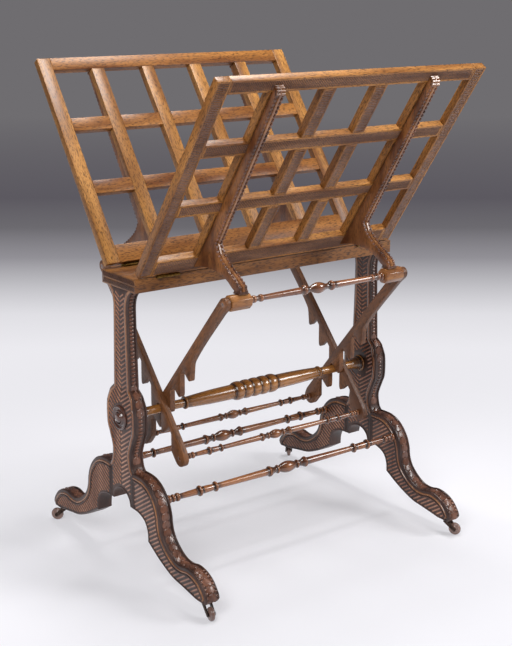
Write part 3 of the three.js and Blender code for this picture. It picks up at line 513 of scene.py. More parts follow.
def leaf_unit(name, across, along, high):
    """A carved leaf with a hollow midrib, which rises to its tip, closed underneath."""
    lobes = (0.62, 0.92, 1.0, 0.94, 0.78, 0.52, 0.14)
    shape = bmesh.new()
    rows = []
    for i, lobe in enumerate(lobes):
        share = i / (len(lobes) - 1)
        place = (2 * share - 1) * along
        lift = high * (0.45 + 0.75 * share)
        edge = across * lobe
        section = [(-edge, -high), (-edge, 0.25 * lift), (-0.45 * edge, 0.9 * lift), (0, 0.65 * lift)]
        section += [(-x, z) for x, z in reversed(section[:-1])]
        rows.append([shape.verts.new((x, place, z)) for x, z in section])
    skinned(shape, rows)
    bmesh.ops.recalc_face_normals(shape, faces=shape.faces[:])
    return placed(name, finished(shape, name, LEAF_SHARP))


def on_edge(path, x):
    """A path of an outline's plane, laid along the edge of its board."""
    return [(x, *p) for p in path]


def spans(paths, zones):
    """The stretches of paths that lie in zones of height."""
    found = []
    for low, high in zones:
        for path in paths:
            parts = [[]]
            for p in path:
                if low <= p.y <= high:
                    parts[-1].append(p)
                elif parts[-1]:
                    parts.append([])
            found += [part for part in parts if len(part) > 2]
    return found


def carved(name, tree, lines, finish, body, slot, sharp=SHARP, **settings):
    """A piece of carving in one finish."""
    piece(carving(name, tree, lines, sharp, Finish=finish, **settings), [finish], body, slot)


def row_of(unit, spacing, side=LENGTHWISE):
    """The settings of a row: its unit, how far apart the units are and which way they face."""
    return {"Unit": unit, "Spacing": spacing, "Side": side}


ROWS = row_tree()
gadroon = bead_unit("gadroon_unit", 6.5 * MM, 3.6 * MM, 3 * MM)
toe_bead = bead_unit("toe_bead_unit", 4.2 * MM, 3.8 * MM, 3.4 * MM)
leaf = leaf_unit("leaf_unit", 10.5 * MM, 10.4 * MM, 3.6 * MM)
moulding_wood = wood("rubbed_moulding", "#74472c", "#a47047", "#472b1b", gloss=0.22, coat=0.5)
carved_edge = wood("carved_edge", "#3f241a", "#7f523d", "#25130c", gloss=0.3, fleck_share=0.3, coat=0.35)
on_stand = ("stand", "carved_wood")
leaves = row_of(leaf, LEAF_PITCH)
for node, paths in edges_of.items():
    loop, middle, half = boards[node]
    on_column = node.startswith("column")
    reed, reed_in, sunk = COLUMN_MOULDING if on_column else LEG_MOULDING
    lines = on_faces([set_in(path, reed_in) for path in paths], middle, half, sunk)
    carved(f"{node}_mouldings", REEDS, lines, moulding_wood, *on_stand, Radius=reed, Sides=12)
    lines = on_faces([set_in(feet_of[node], FOOT_REED_IN)], middle, half, FOOT_REED_SUNK)
    carved(f"{node}_foot_reeds", REEDS, lines, cut_shade, *on_stand, Radius=FOOT_REED, Sides=8)
    lines = on_faces(paths, middle, half, EDGE_ROLL_IN)
    if not on_column:
        lines += on_faces([set_in(path, LEG_FILLET_IN) for path in paths], middle, half)
    carved(f"{node}_rolls", REEDS, lines, dark_hardwood, *on_stand, Radius=EDGE_ROLL, Sides=8)
    if on_column:
        leaf_paths = spans(paths, [SHOULDER_LEAVES, FOOT_LEAVES])
        bead_lines = [on_edge(part, middle) for part in spans(paths, PLAIN_EDGES)]
        beads = row_of(gadroon, GADROON_PITCH)
    else:
        leaf_paths = paths
        toe_start = max(abs(p.x) for p in loop) - TOE_LENGTH
        toes = [[p for p in path if abs(p.x) > toe_start] for path in paths]
        bead_lines = [on_edge(toe, middle + k * TOE_ROW) for toe in toes for k in (-1, 1)]
        beads = row_of(toe_bead, TOE_BEAD_PITCH)
    leaf_lines = [on_edge(path, middle) for path in leaf_paths]
    carved(f"{node}_leaves", ROWS, leaf_lines, carved_edge, *on_stand, LEAF_SHARP, **leaves)
    carved(f"{node}_beads", ROWS, bead_lines, carved_edge, *on_stand, **beads)

# Stretchers
# Two turned rods between the legs of the standards, tenoned at the ends: a long bead with cups in
# the middle, and rings towards the legs. They are French polished, darker in the hollows.
STRETCHER_DIAMETER = 18 * MM
LATHE_SIDES = 32
HOLLOW_REACH = 7 * MM
HOLLOW_DEPTH = 3.5 * MM


def bulb(start, end, low, high, steps=8):
    """A rounded bead of a turning, from one place along it to another."""
    shares = [k / steps for k in range(steps + 1)]
    rounds = [math.sqrt(1 - (2 * t - 1) ** 2) for t in shares]
    return [(start + (end - start) * t, low + (high - low) * r) for t, r in zip(shares, rounds)]


def sweep(start, end, low, high, bow=0.0, steps=10):
    """A long taper of a turning, which may swell or hollow."""
    shares = [k / steps for k in range(steps + 1)]
    radii = [low + (high - low) * t + bow * math.sin(math.pi * t) for t in shares]
    return [(start + (end - start) * t, r) for t, r in zip(shares, radii)]


def both_ways(half):
    """A turning with both halves alike, drawn from its middle outwards."""
    return [(-a, r) for a, r in reversed(half)] + half


def turned(node, profile, centre, finish, body, slot="turned_wood", axis=LENGTHWISE):
    """A turned piece on an axis, closed at its ends. Its hollows are marked by their depth."""
    outer = [max(r for b, r in profile if abs(a - b) < HOLLOW_REACH) for a, _ in profile]
    depths = [min(1, (most - r) / HOLLOW_DEPTH) for most, (_, r) in zip(outer, profile)]
    shape = bmesh.new()
    hollow = shape.verts.layers.float.new("hollow")
    turn = Vector(LENGTHWISE).rotation_difference(Vector(axis))
    rings = []
    for (along, radius), depth in zip(profile, depths):
        ring = []
        for k in range(LATHE_SIDES):
            angle = 2 * math.pi * k / LATHE_SIDES
            spot = Vector((along, radius * math.cos(angle), radius * math.sin(angle)))
            vert = shape.verts.new(Vector(centre) + turn @ spot)
            vert[hollow] = depth
            ring.append(vert)
        rings.append(ring)
    skinned(shape, rings)
    bmesh.ops.remove_doubles(shape, verts=shape.verts[:], dist=TINY)
    bmesh.ops.recalc_face_normals(shape, faces=shape.faces[:])
    piece(finished(shape, f"{node}_turned"), [finish], body, slot, node)


def turned_wood(name, dark, pale, fleck, hollow):
    """Polished turned wood, darker in the hollows of the turning."""
    material = wood(name, dark, pale, fleck, LENGTHWISE, gloss=0.18, fleck_share=0.4, coat=0.9)
    tree = material.node_tree
    shader = tree.nodes["Principled BSDF"]
    figured = shader.inputs["Base Color"].links[0].from_socket
    mark = tree.nodes.new("ShaderNodeAttribute")
    mark.attribute_name = "hollow"
    fed(tree, shader, Base_Color=stained(tree, figured, hollow, mark.outputs["Fac"]))
    return material


def rod_half(length, diameter, middle, forms):
    """Half of a rod: its middle bead, then its forms, in shares of its length and its radius."""
    r = diameter / 2
    reach, neck, swell = middle
    arc = [(k / 8, math.cos(math.pi * k / 16)) for k in range(9)]
    half = [(reach * length * share, r * (neck + swell * bend)) for share, bend in arc]
    for form, start, end, *radii in forms:
        half += form(start * length, end * length, *[share * r for share in radii])
    return half


LONG_BEAD = (0.07, 0.85, 0.7)
RINGED = (
    (bulb, 0.078, 0.094, 0.8, 1.15),
    (sweep, 0.1, 0.15, 0.75, 1.35, -0.12),
    (bulb, 0.15, 0.166, 1.05, 1.42),
    (sweep, 0.166, 0.6, 1.0, 0.75),
    (bulb, 0.6, 0.622, 0.8, 1.35),
    (sweep, 0.622, 0.726, 0.78, 0.95, 0.08),
    (bulb, 0.726, 0.75, 0.95, 1.4),
    (sweep, 0.75, 0.9, 0.9, 0.68),
    (bulb, 0.9, 0.93, 0.7, 1.1),
    (bulb, 0.936, 0.962, 0.7, 1.0),
    (bulb, 0.968, 1, 0.7, 1.12),
)
polished_rod = turned_wood("polished_rod", "#754428", "#a86d41", "#432414", "#2a140b")
inside_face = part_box("column_right")[0].x
for end in ENDS:
    node = f"stretcher_{end}"
    low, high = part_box(node)
    half_rod = rod_half(inside_face, STRETCHER_DIAMETER, LONG_BEAD, RINGED)
    turned(node, both_ways(half_rod), (low + high) / 2, polished_rod, "stand")

# Ratchet bar
# A heavy turned bar between the columns: a ringed knop in the middle, a swelling that tapers to a
# collar on each side, and plain seats for the toothed struts, flared where they meet the columns.
KNOP = 63 * MM
KNOP_RINGS = 5
KNOP_RADIUS = 23 * MM
KNOP_VALLEY = 18.5 * MM
LIP = 5 * MM
QUIRK = 1 * MM
SWELL_RADIUS = 18.8 * MM
SWELL_BOW = 1.2 * MM
COLLAR = (199.5 * MM, 206.5 * MM)
COLLAR_RADIUS = 15.5 * MM
SEAT_RADIUS = 10.5 * MM
FLARE = 38 * MM
FLARE_RADIUS = 17 * MM
FLARE_HOLLOW = 1.6 * MM
END_RING = 10 * MM
END_RING_RADIUS = 21 * MM
polished_bar = turned_wood("polished_bar", "#82501f", "#b77b3c", "#4a2a12", "#2c160a")
ring = 2 * KNOP / KNOP_RINGS
flare_start = inside_face - FLARE
flare_end = inside_face - END_RING
ring_start = inside_face - 0.5 * END_RING
half_bar = bulb(-ring / 2, ring / 2, KNOP_VALLEY, KNOP_RADIUS)[4:]
for k in range(KNOP_RINGS // 2):
    start = ring / 2 + k * ring
    half_bar += bulb(start, start + ring, KNOP_VALLEY, KNOP_RADIUS)
half_bar += bulb(KNOP, KNOP + LIP, KNOP_VALLEY - 2 * QUIRK, SWELL_RADIUS)
swell = (SWELL_RADIUS - QUIRK, 0.86 * COLLAR_RADIUS, SWELL_BOW)
half_bar += sweep(KNOP + LIP + QUIRK, COLLAR[0], *swell)
half_bar += bulb(*COLLAR, 0.8 * COLLAR_RADIUS, COLLAR_RADIUS)
half_bar += sweep(COLLAR[1], flare_start, SEAT_RADIUS, SEAT_RADIUS)
half_bar += sweep(flare_start, flare_end, SEAT_RADIUS, FLARE_RADIUS, -FLARE_HOLLOW)
half_bar += bulb(flare_end, ring_start, FLARE_RADIUS - QUIRK, FLARE_RADIUS + QUIRK)
half_bar += bulb(ring_start, inside_face, 0.8 * END_RING_RADIUS, END_RING_RADIUS)
turned("ratchet_bar", both_ways(half_bar), (0, 0, bar_height), polished_bar, "stand")

# Bosses
# A turned roundel on the outside of each column hides the end of the ratchet bar's tenon. It has a
# rolled rim, a hollow, an inner ring and a domed button, and is glued in by its spigot. The rolls
# are given by rise, steps, outer radius and its fall by step, in shares of height and radius.
SPIGOT = (0.6, 0.3)
BOSS_LEVEL = 0.3
BOSS_ROLLS = ((0.25, 6, 1.0, 0.04), (-0.12, 5, 0.76, 0.03), (0.3, 5, 0.61, 0.03))
BUTTON_GROOVE = (0.22, 0.44)
BUTTON = 0.42
DOME_STEPS = 7
CLOSING = 0.02
polished_boss = wood("polished_boss", "#3f231a", "#6a4232", "#26120b", (0, 1, 0), gloss=0.16, coat=1.0)
shares = [(-SPIGOT[0], SPIGOT[1]), (0, SPIGOT[1]), (0, 1), (BOSS_LEVEL, 1)]
for rise, steps, outer, fall in BOSS_ROLLS:
    for k in range(steps + 1):
        shares.append((BOSS_LEVEL + rise * math.sin(math.pi * k / steps), outer - fall * k))
shares.append(BUTTON_GROOVE)
for k in range(DOME_STEPS):
    angle = math.pi / 2 * k / DOME_STEPS
    shares.append((BOSS_LEVEL + (1 - BOSS_LEVEL) * math.sin(angle), BUTTON * math.cos(angle)))
shares.append((1, CLOSING))
for side, way in SIDES.items():
    node = f"boss_{side}"
    low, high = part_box(node)
    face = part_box(f"column_{side}")[0 if way < 0 else 1].x
    rim = (high.y - low.y) / 2
    proud = max(abs(low.x), abs(high.x)) - abs(face)
    profile = [(height * proud, radius * rim) for height, radius in shares]
    turned(node, profile, (face, 0, bar_height), polished_boss, "stand", axis=(way, 0, 0))

# Tray
# A plain thick board of figured wood, set on the tenons of the columns and recessed for the hinge
# leaves. Its ends are stained dark, and have two bands of slanting cuts, one above the other.
TRAY_EASE = 0.6 * MM
END_SKIN = 1 * MM
END_BANDS = ((673 * MM, 682.5 * MM), (686.5 * MM, 697 * MM))
END_CUT_PITCH = 5 * MM
END_CUT_LEAN = 4 * MM
END_CUT_RADIUS = 1.5 * MM
END_CUT_MARGIN = 6 * MM


def eased(shape, ease, clamped=False):
    """A bmesh with its sharp edges rounded."""
    edges = [e for e in shape.edges if len(e.link_faces) == 2 and e.calc_face_angle() > CORNER]
    rounding = {"offset": ease, "segments": 2, "profile": 0.5, "clamp_overlap": clamped}
    bmesh.ops.bevel(shape, geom=edges, affect="EDGES", **rounding)
    return shape


def planed(node, ease):
    """A copy of a member, merged and with its arrises eased."""
    shape = bmesh.new()
    shape.from_mesh(frame["nodes"][node].data)
    bmesh.ops.remove_doubles(shape, verts=shape.verts[:], dist=2 * TINY)
    bmesh.ops.dissolve_limit(shape, angle_limit=0.01, verts=shape.verts[:], edges=shape.edges[:])
    eased(shape, ease, clamped=True)
    shape.normal_update()
    return shape


tray_wood = wood(
    "tray_wood", "#5f3716", "#97622d", "#2d1608", LENGTHWISE, fleck_share=0.8, coat=0.1, fleck_size=1.1
)
tray_low, tray_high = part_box("tray")
shape = planed("tray", TRAY_EASE)
for face in shape.faces:
    at_end = abs(face.calc_center_median().x) > tray_high.x - END_SKIN
    face.material_index = int(at_end and abs(face.normal.x) > SQUARE_ON)
piece(finished(shape, "tray_planed"), [tray_wood, dark_hardwood], "stand", "golden_wood", "tray")
cuts = []
for way in SIDES.values():
    x = tray_high.x * way
    for (foot, head), lean in zip(END_BANDS, (-END_CUT_LEAN, END_CUT_LEAN)):
        for y in np.arange(tray_low.y + END_CUT_MARGIN, tray_high.y - END_CUT_MARGIN, END_CUT_PITCH):
            cuts.append([(x, y - lean / 2, foot), (x, y + lean / 2, head)])
carved("tray_end_cuts", REEDS, cuts, cut_shade, "stand", "golden_wood", Radius=END_CUT_RADIUS, Sides=6)

# Castors
# Small furniture castors under the toes: a dark iron horn that turns on a pintle, and a wheel of
# brown, mottled glazed china, rounded at the rim.
HORN_EASE = 0.5 * MM
WHEEL_ROUND = 3 * MM
WHEEL_HALF = 6 * MM
TREAD_HALF = 0.75 * WHEEL_HALF


def metal(name, pale, dark, rough):
    """Cast metal, tarnished in soft patches."""
    material, tree, shader = new_finish(name)
    place = shading(tree, "TexCoord").outputs["Object"]
    tarnish = shading(tree, "TexNoise", Vector=place, Scale=160, Detail=4).outputs["Fac"]
    dulled = shading(tree, "MapRange", Value=tarnish, To_Min=rough + 0.15, To_Max=rough)
    relief = shading(tree, "Bump", Height=tarnish, Strength=0.15, Distance=0.3 * MM)
    fed(tree, shader, Metallic=1.0, Base_Color=tone_ramp(tree, tarnish, {0.35: dark, 0.65: pale}))
    fed(tree, shader, Roughness=dulled.outputs["Result"], Normal=relief.outputs["Normal"])
    return material


castor_iron = metal("castor_iron", "#5a4a42", "#2f2622", 0.38)
castor_china = wood("castor_china", "#6b5047", "#967568", "#523a32", gloss=0.22, fleck_share=0.35, coat=0.8)
joints = {joint["name"]: joint for joint in frame["joints"]}
for side in SIDES:
    for end in ENDS:
        corner = f"{end}_{side}"
        node = f"castor_horn_{corner}"
        mesh = finished(planed(node, HORN_EASE), f"{node}_cast")
        piece(mesh, [castor_iron], f"castor_{corner}", "iron", node)
        node = f"castor_wheel_{corner}"
        roll = joints[f"{corner}_roll"]
        radius = roll["pos_m"][2]
        hub = [(-WHEEL_HALF, 0.28 * radius), (-WHEEL_HALF, 0.5 * radius)]
        cheek = [*hub, (-TREAD_HALF, 0.62 * radius), (-TREAD_HALF, radius - WHEEL_ROUND)]
        arc = [math.pi * k / 10 for k in range(1, 10)]
        tread = [(-TREAD_HALF * math.cos(a), radius - WHEEL_ROUND * (1 - math.sin(a))) for a in arc]
        profile = cheek + tread + [(-a, r) for a, r in reversed(cheek)]
        turned(node, profile, roll["pos_m"], castor_china, f"wheel_{corner}", "china", roll["axis"])

# Lattice panels
# Two sloping frames of figured wood: stiles, rails, cross bars and upright bars, tenoned together
# and halved where they cross. The inner side is plain, and the outer side has a sunk, dark band
# of fine cuts along every member, inside a rubbed golden border.
PANEL_TILT = math.radians(35)
MEMBER_EASE = 0.9 * MM
BORDER = 4.2 * MM
BAND_STEP = 0.4 * MM
BAND_DEPTH = 0.9 * MM
BAND_LEAST_AREA = 4e-4
BAND_SQUARE_ON = 0.99
FACING = 0.7
LATTICE_CUT_PITCH = 4.6 * MM
LATTICE_CUT_RADIUS = 1.05 * MM
PANEL_POLISH = {"gloss": 0.4, "fleck_share": 0.75, "coat": 0.05, "fleck_size": 0.85, "sheen": 0.3}
BAND_POLISH = {"coat": 0.0, "sheen": 0.3}
# Tones for each panel's lying and upright members. The rear uprights are paler than the rear lying members:
# a painted highlight. The front lying members are a little paler than the front uprights.
PANEL_TONES_AND_HIGHLIGHT = {
    "front": (("#7a4a20", "#bd8344", "#3a1e0b"), ("#6d411d", "#ab743a", "#331a0a")),
    "rear": (("#643816", "#9c6730", "#331909"), ("#70451e", "#b07c40", "#3c200d")),
}
STANDING = ["stile_{}_left", "stile_{}_right", *[f"upright_bar_{{}}_{k}" for k in (1, 2, 3, 4)]]
LYING = ["bottom_rail_{}", "top_rail_{}", "cross_bar_{}_1", "cross_bar_{}_2"]
band_ground = wood("band_ground", "#261917", "#3f2d2b", "#190f0d", LENGTHWISE, gloss=0.5, **BAND_POLISH)
# Painted shade for the sides of the upright bars and the undersides of the lying members, which stand
# between bars or face away from the lamps.
stained_edge = wood("stained_edge", "#3f2010", "#6b3c1d", "#220f06", LENGTHWISE, gloss=0.34)
band_cuts = wood("band_cuts", "#59423c", "#7f655d", "#3c2923", LENGTHWISE, gloss=0.45, **BAND_POLISH)
for end, way in ENDS.items():
    up = Vector((0, way * math.sin(PANEL_TILT), math.cos(PANEL_TILT)))
    out = Vector((0, way * math.cos(PANEL_TILT), -math.sin(PANEL_TILT)))
    lying_tones, upright_tones = PANEL_TONES_AND_HIGHLIGHT[end]
    lying_wood = wood(f"lattice_lying_{end}", *lying_tones, LENGTHWISE, **PANEL_POLISH)
    upright_wood = wood(f"lattice_upright_{end}", *upright_tones, up, **PANEL_POLISH)
    cuts = []
    for member in STANDING + LYING:
        node = member.format(end)
        standing = member in STANDING
        shape = planed(node, MEMBER_EASE)
        face_out = max(v.co.dot(out) for v in shape.verts)
        outer = []
        for face in shape.faces:
            outermost = face.calc_center_median().dot(out) > face_out - BAND_STEP
            broad = face.calc_area() > BAND_LEAST_AREA
            if outermost and broad and face.normal.dot(out) > BAND_SQUARE_ON:
                outer.append(face)
        inset = {"faces": outer, "use_even_offset": True}
        bmesh.ops.inset_individual(shape, thickness=BORDER, **inset)
        bmesh.ops.inset_individual(shape, thickness=BAND_STEP, depth=-BAND_DEPTH, **inset)
        # The sides of the upright bars and the undersides of the lying members take the painted shade.
        for face in shape.faces:
            beside = "upright" in node and abs(face.normal.x) > FACING
            below = not standing and face.normal.dot(up) < -FACING
            face.material_index = 2 if beside or below else 0
        for face in outer:
            face.material_index = 1
            rights = [v.co.x for v in face.verts]
            heights = [v.co.dot(up) for v in face.verts]
            depth = face.verts[0].co.dot(out)
            ends = [(min(rights), max(rights)), (min(heights), max(heights))]
            run, width = ends[::-1] if standing else ends
            for place in np.arange(run[0] + LATTICE_CUT_PITCH / 2, run[1], LATTICE_CUT_PITCH):
                line = []
                for edge in width:
                    right, height = (edge, place) if standing else (place, edge)
                    line.append(Vector((right, 0, 0)) + up * height + out * depth)
                cuts.append(line)
        finishes = [upright_wood if standing else lying_wood, band_ground, stained_edge]
        piece(finished(shape, f"{node}_planed"), finishes, f"{end}_panel", "golden_wood", node)
    reeds = {"Radius": LATTICE_CUT_RADIUS, "Sides": 6}
    carved(f"lattice_cuts_{end}", REEDS, cuts, band_cuts, f"{end}_panel", "golden_wood", **reeds)

# Hinges
# Four brass butt hinges, let into the tray's edge and the bottom rails. Three countersunk screws
# hold each tray leaf.
HINGE_EASE = 0.25 * MM
SCREW_RADIUS = 2.9 * MM
SCREW_TAPER = 0.86
SCREW_PROUD = 0.2 * MM
SCREW_PITCH = 20 * MM
SCREW_REACH = 28 * MM
SCREW_IN = 7 * MM
FRONTWARD = (0.0, -1.0, 0.0)
hinge_brass = metal("hinge_brass", "#8f6f38", "#57431f", 0.34)
screw_lines = []
for end, way in ENDS.items():
    for side in SIDES:
        for leaf_name, body in (("tray", "stand"), ("panel", f"{end}_panel")):
            node = f"hinge_{leaf_name}_leaf_{end}_{side}"
            piece(finished(planed(node, HINGE_EASE), f"{node}_filed"), [hinge_brass], body, "brass", node)
        low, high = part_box(f"hinge_tray_leaf_{end}_{side}")
        middle = (low.x + high.x) / 2
        y = (tray_low.y if way < 0 else tray_high.y) - way * SCREW_IN
        screw_lines.append([(middle + s * SCREW_REACH, y, tray_high.z) for s in (-1, 1)])
shape = bmesh.new()
radii = {"radius1": SCREW_RADIUS, "radius2": SCREW_TAPER * SCREW_RADIUS}
bmesh.ops.create_cone(shape, cap_ends=True, segments=10, depth=2 * SCREW_PROUD, **radii)
screw = placed("screw_unit", finished(shape, "screw_unit"))
screws = row_of(screw, SCREW_PITCH, FRONTWARD)
carved("hinge_screws", ROWS, screw_lines, hinge_brass, "stand", "brass", **screws)

# Arms
# Two moulded arms stand on the outside of each panel, screwed to its outer upright bars. They are
# sawn to a knee and a curved foot on a small plinth. The outer edge is stained dark, with a rubbed,
# rounded rib between two rows of beads, and the flanks are left the colour of the panel.
RIB_RADIUS = 3.6 * MM
ARM_BEAD_IN = 2.6 * MM
ARM_BEAD_PITCH = 10.5 * MM
ARM_CAP = 16 * MM
PLINTH_WIDTH = 26 * MM
PLINTH_DEPTH = 24 * MM
PLINTH_HEIGHT = 6 * MM
PLINTH_BASE = 0.45 * PLINTH_HEIGHT
PLINTH_STEP = 2.2 * MM
PLINTH_EASE = 0.7 * MM
BLOCK_ACROSS = 34 * MM
SEAT_GAP = 0.3 * MM
arm_bead = bead_unit("arm_bead_unit", 3 * MM, 4 * MM, 3.2 * MM)
arm_flank = wood("arm_flank", "#593119", "#8f5b30", "#321909", gloss=0.4, fleck_share=0.7, coat=0.05)
arm_rib = wood("arm_rib", "#6b4023", "#a36d40", "#3d2110", gloss=0.22, coat=0.6)
arm_edge = wood("arm_edge", "#44281a", "#754c33", "#28140b", gloss=0.34, coat=0.2)


def edges_apart(mesh):
    """A sawn board with the second finish on its edges."""
    for polygon in mesh.polygons:
        polygon.material_index = int(abs(polygon.normal.x) < FACING)
    return mesh


def block_at(shape, centre, size):
    """A block in a bmesh, by its centre and its size along each axis."""
    made = bmesh.ops.create_cube(shape, size=1)["verts"]
    bmesh.ops.scale(shape, vec=size, verts=made)
    bmesh.ops.translate(shape, vec=centre, verts=made)


for end, way in ENDS.items():
    on_panel = (f"{end}_panel", "carved_wood")
    _, yoke_y, yoke_z = joints[f"{end}_ratchet_swing"]["pos_m"]
    seat = yoke_z + BLOCK_ACROSS / 2 + SEAT_GAP
    for side in SIDES:
        node = f"arm_{end}_{side}"
        raw, middle, half = outline_of(node)
        loop = refined(raw)
        half_width = half(loop[0].y)
        mesh = edges_apart(board(f"{node}_sawn", loop, middle, half))
        piece(mesh, [arm_flank, arm_edge], *on_panel, node)
        foot = Vector((yoke_y + way * PLINTH_DEPTH / 2, seat + PLINTH_HEIGHT))
        tip = max(loop, key=lambda p: p.y)
        edge = stretch_of(loop, foot, tip) if way < 0 else stretch_of(loop, tip, foot)
        ridges = [p for p in edge if tip.y - p.y < ARM_CAP][::2]
        lines = [[(middle + s * half_width, *p) for s in (-1, 1)] for p in ridges]
        lines.append(on_edge(edge, middle))
        carved(f"{node}_rib", REEDS, lines, arm_rib, *on_panel, Radius=RIB_RADIUS, Sides=10)
        lines = [on_edge(edge, middle + s * (half_width - ARM_BEAD_IN)) for s in (-1, 1)]
        carved(f"{node}_beads", ROWS, lines, carved_edge, *on_panel, **row_of(arm_bead, ARM_BEAD_PITCH))
        shape = bmesh.new()
        base = (PLINTH_WIDTH, PLINTH_DEPTH, PLINTH_BASE)
        block_at(shape, (middle, yoke_y, seat + PLINTH_BASE / 2), base)
        upper = (PLINTH_WIDTH - PLINTH_STEP, PLINTH_DEPTH - PLINTH_STEP, PLINTH_HEIGHT - PLINTH_BASE)
        block_at(shape, (middle, yoke_y, seat + PLINTH_HEIGHT - upper[2] / 2), upper)
        piece(finished(eased(shape, PLINTH_EASE), f"{node}_plinth"), [arm_edge], *on_panel)

# Yoke rods
# A turned rod under each pair of arms, with a small bead between collars in the middle. A pale
# eight-sided block is left at each end for the arm, with a round tenon on which the strut turns.
YOKE_DIAMETER = 17 * MM
SMALL_BEAD = (0.11, 0.75, 0.75)
COLLARED = (
    (sweep, 0.13, 0.18, 0.75, 1.2, -0.15),
    (bulb, 0.18, 0.22, 1.1, 1.32),
    (sweep, 0.24, 0.8, 0.95, 0.72),
    (bulb, 0.8, 0.85, 0.72, 1.0),
    (sweep, 0.85, 0.9, 0.7, 0.7, -0.04),
    (bulb, 0.9, 0.95, 0.72, 1.0),
    (bulb, 0.95, 1, 0.75, 1.15),
)
TENON_RADIUS = 7 * MM
TENON_PROUD = 1 * MM
TENON_RIM = 0.75
BLOCK_START = 195.5 * MM
BLOCK_SIDES = 8
BLOCK_EASE = 1.3 * MM
STRUT_GAP = 0.3 * MM
block_wood = wood("block_wood", "#804f29", "#b37b45", "#4a2a15", LENGTHWISE, gloss=0.3)


def tenon(start, end, radius, proud, rim):
    """The round tenon at the end of half a rod, narrowed where it stands proud."""
    return [(start, radius), (end, radius), (end + proud, rim * radius), (end + proud, CLOSING * radius)]


for end in ENDS:
    node = f"yoke_rod_{end}"
    _, yoke_y, yoke_z = joints[f"{end}_ratchet_swing"]["pos_m"]
    strut_low, strut_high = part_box(f"strut_{end}_right")
    half_rod = rod_half(BLOCK_START, YOKE_DIAMETER, SMALL_BEAD, COLLARED)
    half_rod += tenon(BLOCK_START, strut_high.x, TENON_RADIUS, TENON_PROUD, TENON_RIM)
    turned(node, both_ways(half_rod), (0, yoke_y, yoke_z), polished_rod, f"{end}_panel")
    reach = BLOCK_ACROSS / 2 / math.cos(math.pi / BLOCK_SIDES)
    angles = [2 * math.pi / BLOCK_SIDES * (k + 0.5) for k in range(BLOCK_SIDES)]
    octagon = [(yoke_y + reach * math.cos(a), yoke_z + reach * math.sin(a)) for a in angles]
    shape = bmesh.new()
    for way in SIDES.values():
        ends = (way * BLOCK_START, way * (strut_low.x - STRUT_GAP))
        skinned(shape, [[shape.verts.new((x, *spot)) for spot in octagon] for x in ends])
    bmesh.ops.recalc_face_normals(shape, faces=shape.faces[:])
    mesh = finished(eased(shape, BLOCK_EASE), f"yoke_blocks_{end}")
    piece(mesh, [block_wood], f"{end}_panel", "turned_wood")

# Ratchet struts
# Each panel is propped by two toothed struts, sawn from plain board and bored for the yoke rod.
# Their teeth hook over the ratchet bar. The flanks are golden brown, and the sawn edges a greyer
# brown with more polish.
STRUT_EASE = 1.1 * MM
FLANK_POLISH = {"gloss": 0.46, "fleck_share": 0.6, "coat": 0.05, "fleck_size": 1.2}
EDGE_POLISH = {"gloss": 0.3, "fleck_share": 0.5, "coat": 0.4, "fleck_size": 1.2}
for end, way in ENDS.items():
    for side in SIDES:
        node = f"strut_{end}_{side}"
        raw, middle, half = outline_of(node)
        low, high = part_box(node)
        along = Vector((0, -way * (high.y - low.y), low.z - high.z)).normalized()
        strut_flank = wood(f"{node}_flank", "#522f19", "#82522c", "#2f180b", along, **FLANK_POLISH)
        strut_edge = wood(f"{node}_edge", "#4a2f24", "#765648", "#2b1812", along, **EDGE_POLISH)
        mesh = edges_apart(board(f"{node}_sawn", refined(raw), middle, half, ease=STRUT_EASE))
        piece(mesh, [strut_flank, strut_edge], f"{end}_ratchet", "golden_wood", node)

# Foot rods
# A thin turned rod joins the lower ends of each pair of struts, so that they swing together. It is
# the last turned piece, and the patterns of the carved rows are put away after it.
FOOT_ROD_DIAMETER = 14 * MM
FOOT_TENON_RADIUS = 5.5 * MM
FOOT_TENON_PROUD = 0.8 * MM
FOOT_TENON_RIM = 0.7
for end in ENDS:
    node = f"foot_rod_{end}"
    low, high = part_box(node)
    strut_low, strut_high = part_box(f"strut_{end}_right")
    half_rod = rod_half(strut_low.x - STRUT_GAP, FOOT_ROD_DIAMETER, LONG_BEAD, RINGED)
    half_rod += tenon(strut_low.x, strut_high.x, FOOT_TENON_RADIUS, FOOT_TENON_PROUD, FOOT_TENON_RIM)
    turned(node, both_ways(half_rod), (low + high) / 2, polished_rod, f"{end}_ratchet")
for unit in (gadroon, toe_bead, leaf, screw, arm_bead):
    bpy.data.objects.remove(unit)

# Floor
# A plain pale studio floor, which falls off to grey a few metres behind the stand. It glows a little
# of itself, more so away from the stand, so that the lamps only shade it near the castors.
CAMERA_YAW = math.radians(36.59)
FLOOR_SIZE = 90.0
FLOOR_FADE = 10.0
FLOOR_GLOW = 0.45
GLOW_SPREAD = (0.5, 1.8)
FLOOR_TONES = {
    0.8: "#eeedf2",
    1.6: "#ebeaef",
    2.1: "#e0dfe4",
    2.7: "#b9b8bd",
    3.2: "#929096",
    4.0: "#6c6a6f",
    5.0: "#5c5960",
    10.0: "#6f6d70",
}


def reckoned(tree, kind, operation, *given):
    """The number that a math node makes of its inputs."""
    node = shading(tree, kind, *given)
    node.operation = operation
    return node.outputs["Value"]


def seen_share(tree):
    """One for rays that show a surface or mirror it, and none for rays that only carry its light."""
    ray = shading(tree, "LightPath").outputs
    mirrored = reckoned(tree, "Math", "MAXIMUM", ray["Is Camera Ray"], ray["Is Glossy Ray"])
    return reckoned(tree, "Math", "MAXIMUM", mirrored, ray["Is Transmission Ray"])


def mixed_out(tree, share, first, second, output):
    """Gives a share of a second shader, over the first, to a tree's output."""
    mixed = shading(tree, "MixShader", share, first, second)
    fed(tree, tree.nodes[output], Surface=mixed.outputs["Shader"])


